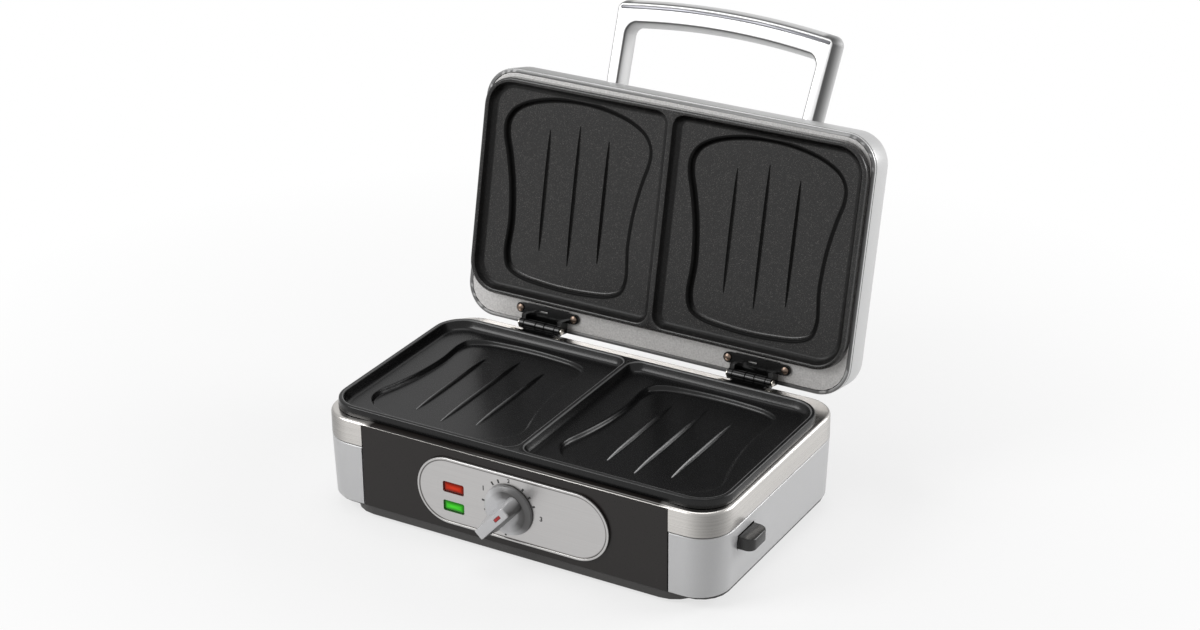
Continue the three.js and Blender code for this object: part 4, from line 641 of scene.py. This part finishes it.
def plateHalf(shade):
    # nested rings from the rim's crest inwards: rim, pan wall, pan floor, pocket wall, pocket floor
    crest = halfRing(plate["skirtProfile"][0][0])
    levels, wear = [(crest, 0.0)], [plate["crestShade"]]
    (rimFrom, rimTo), (panFrom, panTo) = plate["rimSpan"], plate["panSpan"]
    (wallFrom, wallTo), (litFrom, litRun) = plate["pocketSpan"], plate["footLit"]
    for inset, z in plate["panProfile"]:
        levels.append((panRing(inset), z))
        # painted highlight on the lower plate's rim edge, painted shade down the upper plate's pan wall
        onRim, inPan = rimFrom < inset < rimTo, panFrom < inset < panTo
        wear.append(shade["rim"] if onRim else shade["pan"] if inPan else 0.0)
    floorRing = levels[-1][0]
    for along, down in plate["pocketWall"]:
        ring = pocketRing(along * plate["pocketSlope"], floorRing)
        levels.append((ring, plate["floor"] - down * plate["pocketDepth"]))
        # painted shade on the pocket's wall, taken off at its foot on the side by the hinges
        lit = np.clip((ring[:, 1] - litFrom) / litRun, 0, 1) * (along > plate["footFrom"])
        wear.append(shade["pocket"] * (1 - lit) if wallFrom < along < wallTo else 0.0)
    top = stacked(levels, "", "fan", np.stack([np.broadcast_to(worn, len(crest)) for worn in wear]))

    lastInset, lastZ = plate["skirtProfile"][-1]
    below = [(pocketRing(-swell, floorRing), lastZ - down) for swell, down in plate["pocketBack"]]
    bottom = stacked([(halfRing(lastInset), lastZ), *below], "", "fan")
    ribs = [
        rib(plate["pocketX"] + side * plate["ribPitch"], length, shade)
        for side, length in zip((-1, 0, 1), plate["ribLengths"])
    ]
    return [top, bottom, *ribs]


def plateSkirt():
    # the skirt's profile carried round the whole outline, both halves' outer points in one ring
    first = plate["cornerSteps"]
    last = 3 * (plate["cornerSteps"] + plate["sideSteps"]) + 1
    levels = []
    for inset, z in plate["skirtProfile"]:
        right = halfRing(inset)[first:last]
        left = (right * (-1, 1))[::-1]
        levels.append((np.vstack([right, left[1:-1]]), z))
    return stacked(levels, "", "")


def castPlate(place, shade):
    # half a plate, its mirror image and the skirt round both, moved by place
    half = plateHalf(shade)
    parts = half + [moved(part, mirrorX) for part in half] + [plateSkirt()]
    return [moved(part, place) for part in parts]


makePiece("lower_plate_casting", castPlate(lambda p: p + (0, 0, plate["lowerRim"]), plate["lowerShade"]),
          "base", "lower_cooking_plate", "non_stick", creaseDegrees=50)
makePiece("upper_plate_casting",
          castPlate(lambda p: p * (-1, 1, -1) + (0, 0, plate["upperRim"]), plate["upperShade"]),
          "lid", "upper_cooking_plate", "non_stick_upper", creaseDegrees=50)
print("cooking plates made")


lid = {
    "rim": 79.3, "wall": 25.6, "draft": 0.7, "edgeRound": 5.0, "sheet": 2.5, "leastRadius": 6.0,
    "crownRise": 7.8, "crownInset": 50.0, "crownRadius": 26.0, "crownBlend": 17.0,
    "cornerSteps": 14, "edgeSteps": 8, "crownSteps": 14,
    # the front wall, which faces up when the lid is open, starts at darkWall and is painted darker towards its
    # left end, a painted dark reflection
    "dark": 0.7, "darkFrom": -10.0, "darkRun": 110.0, "darkWall": -75.0,
    # the groove's height over the rim and half its width, the height of the lip's face, and how dark both are
    # painted: shade in the groove, a dark reflection on the lip
    "groove": 2.1, "grooveHalf": 0.4, "lipFace": 0.1, "grooveDark": 1.0,
    # (inset, height over the rim) round the lid's open edge: a flat lip with a fine groove above it
    "lipProfile": [
        (2.5, 0), (0.5, 0), (0.12, 0.16), (0, 0.5), (0, 1.5), (0.1, 1.75), (0.4, 1.9), (0.4, 2.35),
        (0.1, 2.5), (0.02, 2.8),
    ],
}


def lidRing(inset):
    # outline of the lid; past its rounded edge the corner radius grows to that of the crown
    blend = np.clip((inset - lid["draft"] - lid["edgeRound"]) / lid["crownBlend"], 0, 1)
    radius = max(housing["cornerRadius"] - inset, lid["leastRadius"])
    radius = (1 - blend) * radius + blend * lid["crownRadius"]
    return housingRing(inset, radius, cornerSteps=lid["cornerSteps"])


def lidProfile():
    # up the outside with a quarter-circle edge, then a crown that rises as the square of a sine
    start = lid["draft"] + lid["edgeRound"]
    shoulder = lid["rim"] + lid["wall"]
    outside = [(inset, lid["rim"] + up) for inset, up in lid["lipProfile"]]
    edge = arc((lid["draft"], shoulder - lid["edgeRound"]), (start, shoulder), (lid["draft"], shoulder),
               lid["edgeSteps"])
    share = np.linspace(0, 1, lid["crownSteps"] + 1)[1:]
    crown = np.column_stack([
        start + share * (lid["crownInset"] - start),
        shoulder + lid["crownRise"] * np.sin(share * np.pi / 2) ** 2,
    ])
    return np.vstack([outside, edge, crown])


def lidCover():
    # the outside, and the same profile one sheet further in, thinning towards the rim
    outer = lidProfile()
    inner = outer[outer[:, 1] > lid["rim"] + lid["edgeRound"]] + (lid["sheet"], 0)
    inner[:, 1] -= lid["sheet"] * np.clip((inner[:, 1] - lid["rim"]) / lid["wall"], 0, 1)
    inner = np.vstack([[(lid["sheet"], lid["rim"])], inner])
    skinOut, skinIn = (
        stacked([(lidRing(inset), z) for inset, z in profile], "", "fan")
        for profile in (outer, inner)
    )
    # painted shade in the groove, a painted dark reflection on the lip's face and at the front wall's left end
    x, y, z = skinOut["points"].T
    inGroove = (np.abs(z - lid["rim"] - lid["groove"]) < lid["grooveHalf"]) | (z < lid["rim"] + lid["lipFace"])
    darkEnd = lid["dark"] * np.clip((-x - lid["darkFrom"]) / lid["darkRun"], 0, 1) * (y < lid["darkWall"])
    skinOut["wear"] = np.maximum(darkEnd, lid["grooveDark"] * inGroove)
    return [skinOut, skinIn]


release = {
    "centreY": -47.95, "length": 21.4, "height": 9.2, "round": 5.0, "slope": 1.2, "edge": 0.9,
    "tipSteps": 8, "edgeSteps": 5,
    # the clearance in the hole, and along x from the wall: the hole, the button's back and its flange
    "fit": 0.4, "holeSpan": (-4.5, overrun), "back": 6.3, "flange": 1.6, "flangeSpan": (-6.3, -3.3),
    # for each button: the wall it stands out of, how far, and the height of its middle
    "lower": (144.36, 10.5, 36.4),
    "upper": (145.0, 3.2, 90.7),
}


def releaseBlock(which, span, grow):
    # a block round the button's axis, larger than the button by grow, over span along x from the wall
    wall, _, height = release[which]
    half = np.array([release["length"] / 2 + grow, release["height"] / 2 + grow])
    middle = (release["centreY"], height)
    return cuboid((wall + span[0], *(middle - half)), (wall + span[1], *(middle + half)))


makePiece("lid_skin", lidCover(), "lid", "lid_cover", "lid_paint",
          [moved(releaseBlock("upper", release["holeSpan"], release["fit"]), mirrorX)], 28)
softCopy("lid_liner_sheet", "lid_liner", "lid", "liner_paint", (0.3, 2, 50))
print("lid made")


handle = {
    "originY": -83.15, "originZ": 124.8, "climbDegrees": 12.75, "reach": 58.3, "archDrop": 5.5,
    "halfWidth": 81.0, "legSpread": 0.053, "legWidth": 8.0, "gripWidth": 12.5, "gripInnerDrop": 4.0,
    "innerHalf": 64.0, "innerRadius": 9.0, "cornerRadius": 3.4, "legRoot": 82.0,
    # points along a leg outside and inside, the arch, the grip, the strip and its ends, and in the corners
    "legPoints": (12, 10), "archPoints": 24, "gripPoints": 18, "inlayPoints": (41, 9), "cornerSteps": (8, 10),
    # (depth behind the front face, how far the sides stand out there)
    "flare": [
        (0, -0.95), (0.1, -0.5), (0.3, -0.17), (0.6, 0.02), (1.0, 0.22), (2.0, 0.62), (3.5, 1.2), (5.0, 1.71),
        (7.0, 2.4), (8.7, 2.85), (10.2, 3.02), (11.6, 2.98), (12.6, 2.75), (13.3, 2.35), (13.75, 1.7),
        (14.0, 0.8),
    ],
    # (depth, how dark the side is painted there, as shade) on the outside of the legs, and everywhere else
    "legShade": [(0, 0), (0.1, 0.65), (0.3, 1), (2.5, 1), (6, 0.75), (9, 0.45), (12, 0.3), (14, 0.6)],
    "sideShade": [(0, 0), (0.1, 0.7), (0.3, 1), (0.8, 0.9), (2, 0.5), (4, 0.22), (9, 0.1), (14, 0.4)],
    "inlayDrop": 2.9, "inlayHalfWidth": 1.1, "inlayHalfLength": 77.5, "inlayDepth": 0.9, "inlayGap": 0.3,
    # (inset, height) up the side of the inlaid strip and over its edge
    "inlayProfile": [(0, -0.9), (0, -0.35), (0.15, -0.12), (0.4, 0.0)],
    # what the lid takes up, cut away from the bow's roots
    "cutLow": (-100, -43.3, 0), "cutHigh": (100, 130, 113.0),
}


def archAt(x, top):
    # a parabola that falls from top in the middle by archDrop to the ends
    return top - handle["archDrop"] * (x / handle["halfWidth"]) ** 2


def legOuter(s):
    # a leg's outside leans in evenly from the arch's ends down to its root
    return handle["halfWidth"] - handle["legSpread"] * (handle["reach"] - handle["archDrop"] - s)


def handleRing():
    # the bow in the plane of its face: an arch over two leaning legs, and the opening's rounded corners
    reach, halfWidth, innerHalf = (handle[key] for key in ("reach", "halfWidth", "innerHalf"))
    (outerPoints, innerPoints), (outerSteps, innerSteps) = handle["legPoints"], handle["cornerSteps"]
    cornerS = reach - handle["archDrop"] - handle["cornerRadius"]
    gripInner = reach - handle["gripWidth"]
    cornerTop = gripInner - handle["gripInnerDrop"]
    shoulder = cornerTop - handle["innerRadius"]
    legS = np.linspace(-handle["legRoot"], cornerS, outerPoints)
    outerLeg = np.column_stack([legOuter(legS), legS])
    archStart = halfWidth - handle["cornerRadius"]
    corner = arc(outerLeg[-1], (archStart, archAt(archStart, reach)),
                 (legOuter(cornerS), archAt(halfWidth, reach)), outerSteps)[1:]
    archX = np.linspace(archStart, 0, handle["archPoints"])[1:]
    arch = np.column_stack([archX, archAt(archX, reach)])
    innerX = np.linspace(0, innerHalf, handle["gripPoints"])
    innerArch = np.column_stack([innerX, gripInner - handle["gripInnerDrop"] * (innerX / innerHalf) ** 2])
    legInner = legOuter(shoulder) - handle["legWidth"]
    innerCorner = arc((innerHalf, cornerTop), (legInner, shoulder), (legInner, cornerTop), innerSteps)[1:]
    innerS = np.linspace(shoulder, -handle["legRoot"], innerPoints)[1:]
    innerLeg = np.column_stack([legOuter(innerS) - handle["legWidth"], innerS])
    outside = np.vstack([outerLeg, corner, arch])
    inside = np.vstack([innerArch, innerCorner, innerLeg])
    flip = np.array([-1, 1])
    return np.vstack([outside, (outside * flip)[-2::-1], (inside * flip)[::-1], inside[1:]])


def onHandle(points):
    # from (across, along the face, out of the face) to the lid's frame: a turn about x and a shift
    climb = math.radians(handle["climbDegrees"])
    x, s, out = points.T
    return np.column_stack([
        x,
        handle["originY"] - s * math.cos(climb) - out * math.sin(climb),
        handle["originZ"] + s * math.sin(climb) - out * math.cos(climb),
    ])


def inlayRing(halfAcross):
    # a strip under the arch with half-round ends
    halfLength, (sidePoints, tipPoints) = handle["inlayHalfLength"], handle["inlayPoints"]
    x = np.linspace(-halfLength, halfLength, sidePoints)
    middle = archAt(x, handle["reach"] - handle["inlayDrop"])
    turn = np.linspace(-np.pi / 2, np.pi / 2, tipPoints)[1:-1]
    tip = np.column_stack([halfLength + halfAcross * np.cos(turn), middle[-1] + halfAcross * np.sin(turn)])
    lower = np.column_stack([x, middle - halfAcross])
    upper = np.column_stack([x, middle + halfAcross])[::-1]
    return np.vstack([lower, tip, upper, (tip * (-1, 1))[::-1]])


def makeHandle():
    # the outline moved out by the flare at each depth, less the strip's groove and what the lid takes up
    outline = handleRing()
    depths = [depth for depth, out in handle["flare"]]
    onLeg = np.abs(outline[:, 0]) > handle["innerHalf"] + handle["legWidth"]
    # painted shade down the sides, from a thin dark line at the front face's edge
    shades = (np.interp(depths, *zip(*handle[key]))[:, None] for key in ("legShade", "sideShade"))
    bow = stacked([(offsetRing(outline, out), -depth) for depth, out in handle["flare"]],
                  wear=np.where(onLeg, *shades))
    grooveRing = inlayRing(handle["inlayHalfWidth"] + handle["inlayGap"])
    groove = stacked([(grooveRing, -handle["inlayDepth"] - handle["inlayGap"]), (grooveRing, overrun)])
    makePiece("handle_bow", [moved(bow, onHandle)], "lid", "handle", "handle_paint",
              [moved(groove, onHandle), cuboid(handle["cutLow"], handle["cutHigh"])])
    strip = inlayRing(handle["inlayHalfWidth"])
    inlay = stacked([(offsetRing(strip, -inset), z) for inset, z in handle["inlayProfile"]])
    makePiece("handle_strip", [moved(inlay, onHandle)], "lid", "handle_inlay", "inlay_silver")


makeHandle()
print("handle made")


band = {
    "bottom": 49.0, "top": 65.8, "sheet": 1.2, "edgeRound": 2.2, "openingInset": 5.5, "hemRound": 0.35,
    "sideSteps": 40, "arcSteps": (3, 8, 6), "panelHalf": 111.5, "slotHalfDepth": 120.0,
    # the painted reflection of the dark skirt over the front panel: how far it fades in from the panel's ends,
    # the x over which its bright lines come up, and how dark each row of the rounded edge is painted
    "shadeRun": 4.0, "litFrom": (-40.0, 40.0), "edgeShade": (0.0, 0.0, 0.9, 0.45, 0.95, 1.0, 0.55, 0.95, 1.0),
}


def steelBand():
    # up the outside, over the rounded edge, across the ledge to the plate's opening and back below
    bottom, top, sheet, turn, hem = (band[key] for key in ("bottom", "top", "sheet", "edgeRound", "hemRound"))
    hemSteps, outerSteps, innerSteps = band["arcSteps"]
    outside = np.vstack([
        [(sheet, bottom), (hem, bottom)],
        arc((hem, bottom), (0, bottom + hem), (0, bottom), hemSteps)[1:],
        arc((0, top - turn), (turn, top), (0, top), outerSteps),
    ])
    inside = np.vstack([
        arc((sheet + turn, top - sheet), (sheet, top - sheet - turn), (sheet, top - sheet), innerSteps),
        [(sheet, bottom)],
    ])
    outer, inner = (
        [(housingRing(inset, sideSteps=band["sideSteps"]), z) for inset, z in side]
        for side in (outside, inside)
    )
    grow = band["openingInset"]
    opening = roundedRing(plate["halfX"] - grow, plate["halfY"] - grow, plate["cornerRadius"] - grow,
                          (0, plate["centreY"]), sideSteps=band["sideSteps"])
    levels = [*outer, (opening, top), (opening, top - sheet), *inner]
    # over the front panel the rounded edge is painted dark as a reflection of the skirt above it, with two
    # thin painted bright lines that come up towards the right
    x, y = levels[0][0].T
    first, last = len(outer) - len(band["edgeShade"]), len(outer)
    byRow = np.ones(len(levels))
    byRow[first:last] = band["edgeShade"]
    litStart, litEnd = band["litFrom"]
    worn = 1 - (1 - byRow[:, None]) * np.clip((x - litStart) / (litEnd - litStart), 0, 1)
    worn[:first], worn[last + 1:] = 0, 0
    overPanel = np.clip((band["panelHalf"] - np.abs(x)) / band["shadeRun"], 0, 1) * (y < 0)
    return stacked(levels, "", "", worn * overPanel)


panelSlot = cuboid((-band["panelHalf"], -band["slotHalfDepth"], band["bottom"] - overrun),
                   (band["panelHalf"], band["slotHalfDepth"], band["top"] - band["sheet"]))
makePiece("steel_band_and_ledge", [steelBand()], "base", "steel_band", "brushed_steel", [panelSlot])

shell = {
    "bottom": 6.5, "top": 48.3, "lean": 1.8, "wall": 2.5, "edgeRound": 0.8, "footRound": 1.2, "arcSteps": 4,
    "innerX": 112.0,
}


def endShellPath(inset, lean):
    # from the front edge by the panel, round both corners and back to the rear edge
    ring = housingRing(inset, lean=lean)
    count = len(ring) // 4
    half = ring[count:3 * count]
    return np.vstack([[(shell["innerX"], half[0, 1])], half, [(shell["innerX"], half[-1, 1])]])


def endShell():
    # a closed wall profile carried along that path, leaning in towards its foot, with flat ends
    bottom, top, wall, edge, foot = (shell[key] for key in ("bottom", "top", "wall", "edgeRound", "footRound"))
    outer = np.vstack([
        arc((foot, bottom), (0, bottom + foot), (0, bottom), shell["arcSteps"]),
        arc((0, top - edge), (edge, top), (0, top), shell["arcSteps"]),
        [(wall, top), (wall, bottom)],
    ])
    rings = [
        level(endShellPath(inset, shell["lean"] * (1 - (z - bottom) / (top - bottom))), z)
        for inset, z in outer
    ]
    return skin(np.stack(rings, axis=1), "flat", "flat")


makePiece("right_shell", [endShell()], "base", "right_end_shell", "silver_paint",
          [releaseBlock("lower", release["holeSpan"], release["fit"])])
makePiece("left_shell", [moved(endShell(), mirrorX)], "base", "left_end_shell", "silver_paint")
softCopy("front_panel", "front_fascia", "base", "fascia_plastic", (0.45, 3, 60))
softCopy("back_panel", "rear_panel", "base", "fascia_plastic", (0.45, 3, 60))
softCopy("bottom_tray", "base_tray", "base", "tray_paint", (0.5, 2, 50))
print("housing made")


dial = {
    "frontY": -86.95, "height": 34.5, "shift": 1.6, "rise": 0.9, "halfLength": 69.8, "halfHeight": 23.3,
    "cornerSteps": 16,
    # (inset from the plate's outline, height over the fascia) over the raised rim and down to the face
    "rimProfile": [
        (0, 0), (0, 1.2), (0.08, 1.55), (0.3, 1.8), (0.6, 1.9), (1.1, 1.9), (1.4, 1.8), (1.62, 1.6),
        (1.75, 1.42), (2.3, 1.4), (2.5, 1.4),
    ],
    # how dark each of those rings is painted, as shade
    "rimShade": (0.8, 0.4, 0.1, 0, 0, 0, 0.2, 0.9, 1.0, 0.3, 0),
    "holeSpan": (-1.0, 3.0), "shaftHole": 5.2, "shaftSides": 32,
    "lensX": -41.2, "lensHalf": (7.1, 3.1), "lensCentres": (3.7, -9.75), "lensRadius": 1.0, "domeRadius": 0.4,
    "lensSteps": 5, "lensFrame": 0.7, "frameRadius": 1.2, "frameSteps": 4,
    # (inset, height over lensFront) up a lens and over its dome, and how dark it is painted there, with less
    # glow, as shade towards its edges
    "lensProfile": [(0, -4.95), (0, -0.5), (0.12, -0.18), (0.4, 0), (1.1, 0.2), (2.0, 0.35)],
    "lensFront": 0.75, "lensShade": (1, 1, 1, 1, 0.8, 0.4), "flange": 1.8, "flangeSpan": (-4.3, -3.1),
    # (angle in degrees, length) of the printed strokes round the dial
    "strokes": [(175, 2.0), (128, 2.6), (113, 2.6), (58, 2.2), (39, 2.2), (20, 2.0), (195, 1.0), (261, 1.5)],
    "strokeFrom": 18.1, "strokeWidth": 1.3, "inkHeight": 0.03, "plateFace": 1.4,
    # (numeral, angle in degrees, distance from the dial's middle, size)
    "numbers": [("1", 152, 21.3, 4.6), ("2", 90, 19.9, 3.6), ("3", -2, 23.2, 4.6)],
    "numberBold": 0.14, "numberSteps": 4,
}


def onFascia(points):
    # drawn flat with x right, y up and z out, then stood up on the front panel
    return np.column_stack([points[:, 0], dial["frontY"] - points[:, 2], dial["height"] + points[:, 1]])


def stadium(inset):
    # two half circles joined by straight sides
    half, middle = dial["halfHeight"] - inset, (dial["shift"], dial["rise"])
    return roundedRing(dial["halfLength"] - inset, half, half, middle, dial["cornerSteps"])


def makeControlPlate():
    # the rim's profile carried round the stadium, with its painted shade, and a hole for each lens and for the
    # shaft
    face = stacked([(stadium(inset), z) for inset, z in dial["rimProfile"]], wear=dial["rimShade"])
    halfX, halfY = (size + dial["lensFrame"] for size in dial["lensHalf"])
    outlines = [
        roundedRing(halfX, halfY, dial["frameRadius"], (dial["lensX"], y), dial["frameSteps"])
        for y in dial["lensCentres"]
    ]
    turn = np.arange(dial["shaftSides"]) / dial["shaftSides"] * 2 * np.pi
    outlines.append(dial["shaftHole"] * np.column_stack([np.cos(turn), np.sin(turn)]))
    holes = [moved(stacked([(ring, z) for z in dial["holeSpan"]]), onFascia) for ring in outlines]
    makePiece("control_plate_face", [moved(face, onFascia)], "base", "control_plate", "panel_steel",
              holes, 24)


def lensRing(inset, centreY):
    # a rounded rectangle whose corner radius falls by a third of the inset
    halfX, halfY = dial["lensHalf"]
    radius = np.clip(dial["lensRadius"] - inset / 3, dial["domeRadius"], dial["lensRadius"])
    return roundedRing(halfX - inset, halfY - inset, radius, (dial["lensX"], centreY), dial["lensSteps"])


def makeLens(name, node, finish, centreY):
    # a rounded window whose face rises in a shallow dome, on a wider flange behind the panel
    window = stacked([(lensRing(inset, centreY), dial["lensFront"] + up) for inset, up in dial["lensProfile"]],
                     end="fan", wear=dial["lensShade"])
    flange = stacked([(lensRing(-dial["flange"], centreY), z) for z in dial["flangeSpan"]])
    makePiece(name, [moved(window, onFascia), moved(flange, onFascia)], "base", node, finish, creaseDegrees=32)


def printedBar(angle, length):
    # a thin bar that lies along a radius of the dial, a hair above the plate
    turn = math.radians(angle)
    out, across = np.array([math.cos(turn), math.sin(turn)]), np.array([-math.sin(turn), math.cos(turn)])
    near, far, half = dial["strokeFrom"], dial["strokeFrom"] + length, dial["strokeWidth"] / 2
    ring = np.array([near * out - half * across, far * out - half * across,
                     far * out + half * across, near * out + half * across])
    return stacked([(ring, dial["plateFace"]), (ring, dial["plateFace"] + dial["inkHeight"])])


def numeralMesh(text, angle, radius, size):
    # the outline of a plain numeral, made a mesh before it is stood on the plate
    curve = bpy.data.curves.new("numeral", "FONT")
    curve.body, curve.size = text, size
    curve.align_x, curve.align_y = "CENTER", "CENTER"
    curve.extrude, curve.offset = dial["inkHeight"] / 2, dial["numberBold"]
    curve.resolution_u = dial["numberSteps"]
    holder = placeObject("numeral", curve)
    mesh = evaluatedMesh(holder)
    bpy.data.objects.remove(holder)
    points = np.empty(len(mesh.vertices) * 3)
    mesh.vertices.foreach_get("co", points)
    turn = math.radians(angle)
    shift = (radius * math.cos(turn), radius * math.sin(turn), dial["plateFace"] + dial["inkHeight"] / 2)
    points = onFascia(points.reshape(-1, 3) + shift) * metresPerMillimetre
    mesh.vertices.foreach_set("co", points.ravel())
    return cleanMesh(mesh)


def makePrint():
    # the strokes in one piece and each numeral in its own, in black ink on the control plate
    bars = [moved(printedBar(angle, length), onFascia) for angle, length in dial["strokes"]]
    prints = [("dial_strokes", meshOf("dial_strokes", bars))]
    prints += [(f"dial_number_{number[0]}", numeralMesh(*number)) for number in dial["numbers"]]
    for name, mesh in prints:
        obj = placeObject(name, mesh)
        mesh.materials.clear()
        mesh.materials.append(materials["printed_black"])
        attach(obj, "base")


makeControlPlate()
makePrint()
makeLens("upper_lens", "power_lens", "red_lens", dial["lensCentres"][0])
makeLens("lower_lens", "ready_lens", "green_lens", dial["lensCentres"][1])

knob = {
    "baseY": -88.75, "disc": 3.8, "height": 18.5, "heel": 12.3, "tail": 17.0, "tailRadius": 0.6,
    "halfFace": 3.5, "draft": 2.3, "heelDraft": 1.2, "footRound": 4.5, "faceEdge": 0.5, "faceRadius": 1.4,
    "draftPower": 1.2, "pointerDegrees": 47.5, "sides": 96, "cornerSteps": 8, "draftPoints": 12,
    "edgeTurns": (30, 60, 90), "markReach": 4.3, "markHalf": (2.9, 1.0), "markRadius": 0.45,
    # the pocket round the mark: the gap at its sides and below it, its corners, and the steps of both
    "markGap": 0.15, "markSink": 0.3, "pocketRadius": 0.5, "markSteps": 4,
    # (inset, depth below the blade's face) up the side of the red mark and over its edge
    "markProfile": [(0, 0.8), (0, 0.3), (0.1, 0.12), (0.3, 0.05)],
    # (radius, height) up the rim, over its edge and in along the sloped top
    "discProfile": [
        (17.5, 0), (17.5, 0.25), (17.35, 0.6), (16.75, 1.9), (14.15, 3.55), (13.7, 3.75), (13.2, 3.8),
        (10, 3.8), (8, 3.8),
    ],
    # how dark each of those rings is painted, as shade, on the side that lies towards darkSide, degrees from
    # the pointer
    "discShade": (1, 0.95, 0.85, 0.8, 0.85, 0.9, 0.9, 0.8, 0.3), "darkSide": -14.0, "darkShare": (0.45, 1.4),
    "bladeShade": 0.85, "lightCap": 0.6,
}


def onDial(points):
    # drawn with its pointer along x, turned to its resting angle and stood up on the control plate
    turn = math.radians(knob["pointerDegrees"])
    x = points[:, 0] * math.cos(turn) - points[:, 1] * math.sin(turn)
    y = points[:, 0] * math.sin(turn) + points[:, 1] * math.cos(turn)
    return np.column_stack([x, knob["baseY"] - points[:, 2], dial["height"] + y])


def knobDisc():
    # the disc's profile carried round a circle, painted darker as shade on one side
    turn = np.arange(knob["sides"]) / knob["sides"] * 2 * np.pi
    circle = np.column_stack([np.cos(turn), np.sin(turn)])
    middle, swing = knob["darkShare"]
    away = np.clip(middle + swing * np.cos(turn - math.radians(knob["darkSide"])), 0, 1)
    return stacked([(circle * radius, z) for radius, z in knob["discProfile"]],
                   wear=np.outer(knob["discShade"], away))


def bladeRing(draftShare, inset):
    # straight sides, a square tail and a rounded heel; it spreads by draftShare towards the disc
    heel = knob["heel"] + knob["heelDraft"] * draftShare - inset
    half = knob["halfFace"] + knob["draft"] * draftShare - inset
    head = max(knob["footRound"] * draftShare, knob["faceRadius"])
    tail = knob["tail"] - inset
    return roundedRing((heel + tail) / 2, half, [knob["tailRadius"], head, head, knob["tailRadius"]],
                       ((heel - tail) / 2, 0), knob["cornerSteps"])


def knobBlade():
    # the outline narrows as a power of the height, then turns in over a quarter-circle edge
    low, top, edge = knob["disc"] / 2, knob["height"], knob["faceEdge"]
    levels = [
        (bladeRing((1 - t) ** knob["draftPower"], 0.0), low + t * (top - edge - low))
        for t in np.linspace(0, 1, knob["draftPoints"])
    ]
    levels += [
        (bladeRing(0.0, edge * (1 - math.cos(turn))), top - edge * (1 - math.sin(turn)))
        for turn in np.radians(knob["edgeTurns"])
    ]
    # the side that faces right at rest is painted as in shade, the face and the other side are left light
    worn = [knob["bladeShade"] * (ring[:, 1] < 0) * (z < top - knob["lightCap"]) for ring, z in levels]
    return stacked(levels, wear=worn)


def makeKnob():
    # disc and blade in one piece, with a pocket in the blade's face for the red mark
    halfX, halfY = knob["markHalf"]
    place, gap, top = (knob["markReach"], 0), knob["markGap"], knob["height"]
    pocket = roundedRing(halfX + gap, halfY + gap, knob["pocketRadius"], place, knob["markSteps"])
    groove = stacked([(pocket, top - knob["markProfile"][0][1] - knob["markSink"]), (pocket, top + overrun)])
    makePiece("dial_knob", [moved(knobDisc(), onDial), moved(knobBlade(), onDial)], "knob", "control_knob",
              "knob_plastic", [moved(groove, onDial)], 26)
    mark = roundedRing(halfX, halfY, knob["markRadius"], place, knob["markSteps"])
    bar = stacked([(offsetRing(mark, -inset), top - down) for inset, down in knob["markProfile"]])
    makePiece("pointer_bar", [moved(bar, onDial)], "knob", "knob_pointer_mark", "red_mark", creaseDegrees=32)


makeKnob()
print("control plate, lenses and knob made")


def buttonBody(which):
    # the plan outline with a rounded outer end, at rising levels with rounded edges and a sloping top
    wall, reach, height = release[which]
    half, tip, turn = release["length"] / 2, wall + reach, release["round"]
    corner = arc((tip - turn, half), (tip, half - turn), (tip, half), release["tipSteps"])
    upper = np.vstack([[(wall - release["back"], half)], corner])
    ring = np.vstack([upper * (1, -1), upper[::-1]])
    halfZ, edge = release["height"] / 2, release["edge"]
    bottom = arc((-edge, -halfZ), (0, -halfZ + edge), (0, -halfZ), release["edgeSteps"])
    top = arc((0, halfZ - edge), (-edge, halfZ), (0, halfZ), release["edgeSteps"])
    rings = []
    for side, slope in ((bottom, 0.0), (top, release["slope"])):
        for out, z in side:
            outline = offsetRing(ring, out)
            fall = slope * np.clip((outline[:, 0] - wall) / reach, 0, 1)
            rings.append(np.column_stack([outline + (0, release["centreY"]), height + z - fall]))
    return skin(np.stack(rings), "flat", "flat")


for which in ("lower", "upper"):
    parts = [buttonBody(which), releaseBlock(which, release["flangeSpan"], release["flange"])]
    if which == "upper":
        parts = [moved(part, mirrorX) for part in parts]
    makePiece(f"{which}_button", parts, f"{which}_release", f"{which}_release_button", "button_plastic",
              creaseDegrees=35)

# the coils behind the buttons, which shorten towards their fixed inner ends as the slides press them, are
# copied as they stand, each with a mesh of its own
for which, body, side in (("lower", "base", 1), ("upper", "lid", -1)):
    piece = softCopy(f"{which}_spring_coil", f"{which}_latch_spring", body, "bright_steel", creaseDegrees=70)
    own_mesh(piece)
print("release buttons and springs made")

for side in ("left", "right"):
    softCopy(f"base_leaf_{side}", f"base_hinge_leaf_{side}", "base", "zinc_black", (0.3, 2, 50), 45)
    softCopy(f"lid_leaf_{side}", f"lid_hinge_leaf_{side}", "lid", "zinc_black", (0.3, 2, 50), 45)
    softCopy(f"pin_{side}", f"hinge_pin_{side}", "base", "bright_steel", (0.25, 2, 50), 45)
    for end in ("inner", "outer"):
        softCopy(f"lid_screw_{side}_{end}", f"lid_hinge_screw_{side}_{end}", "lid", "bronze_screw",
                 (0.15, 2, 50), 45)
print("hinges made")
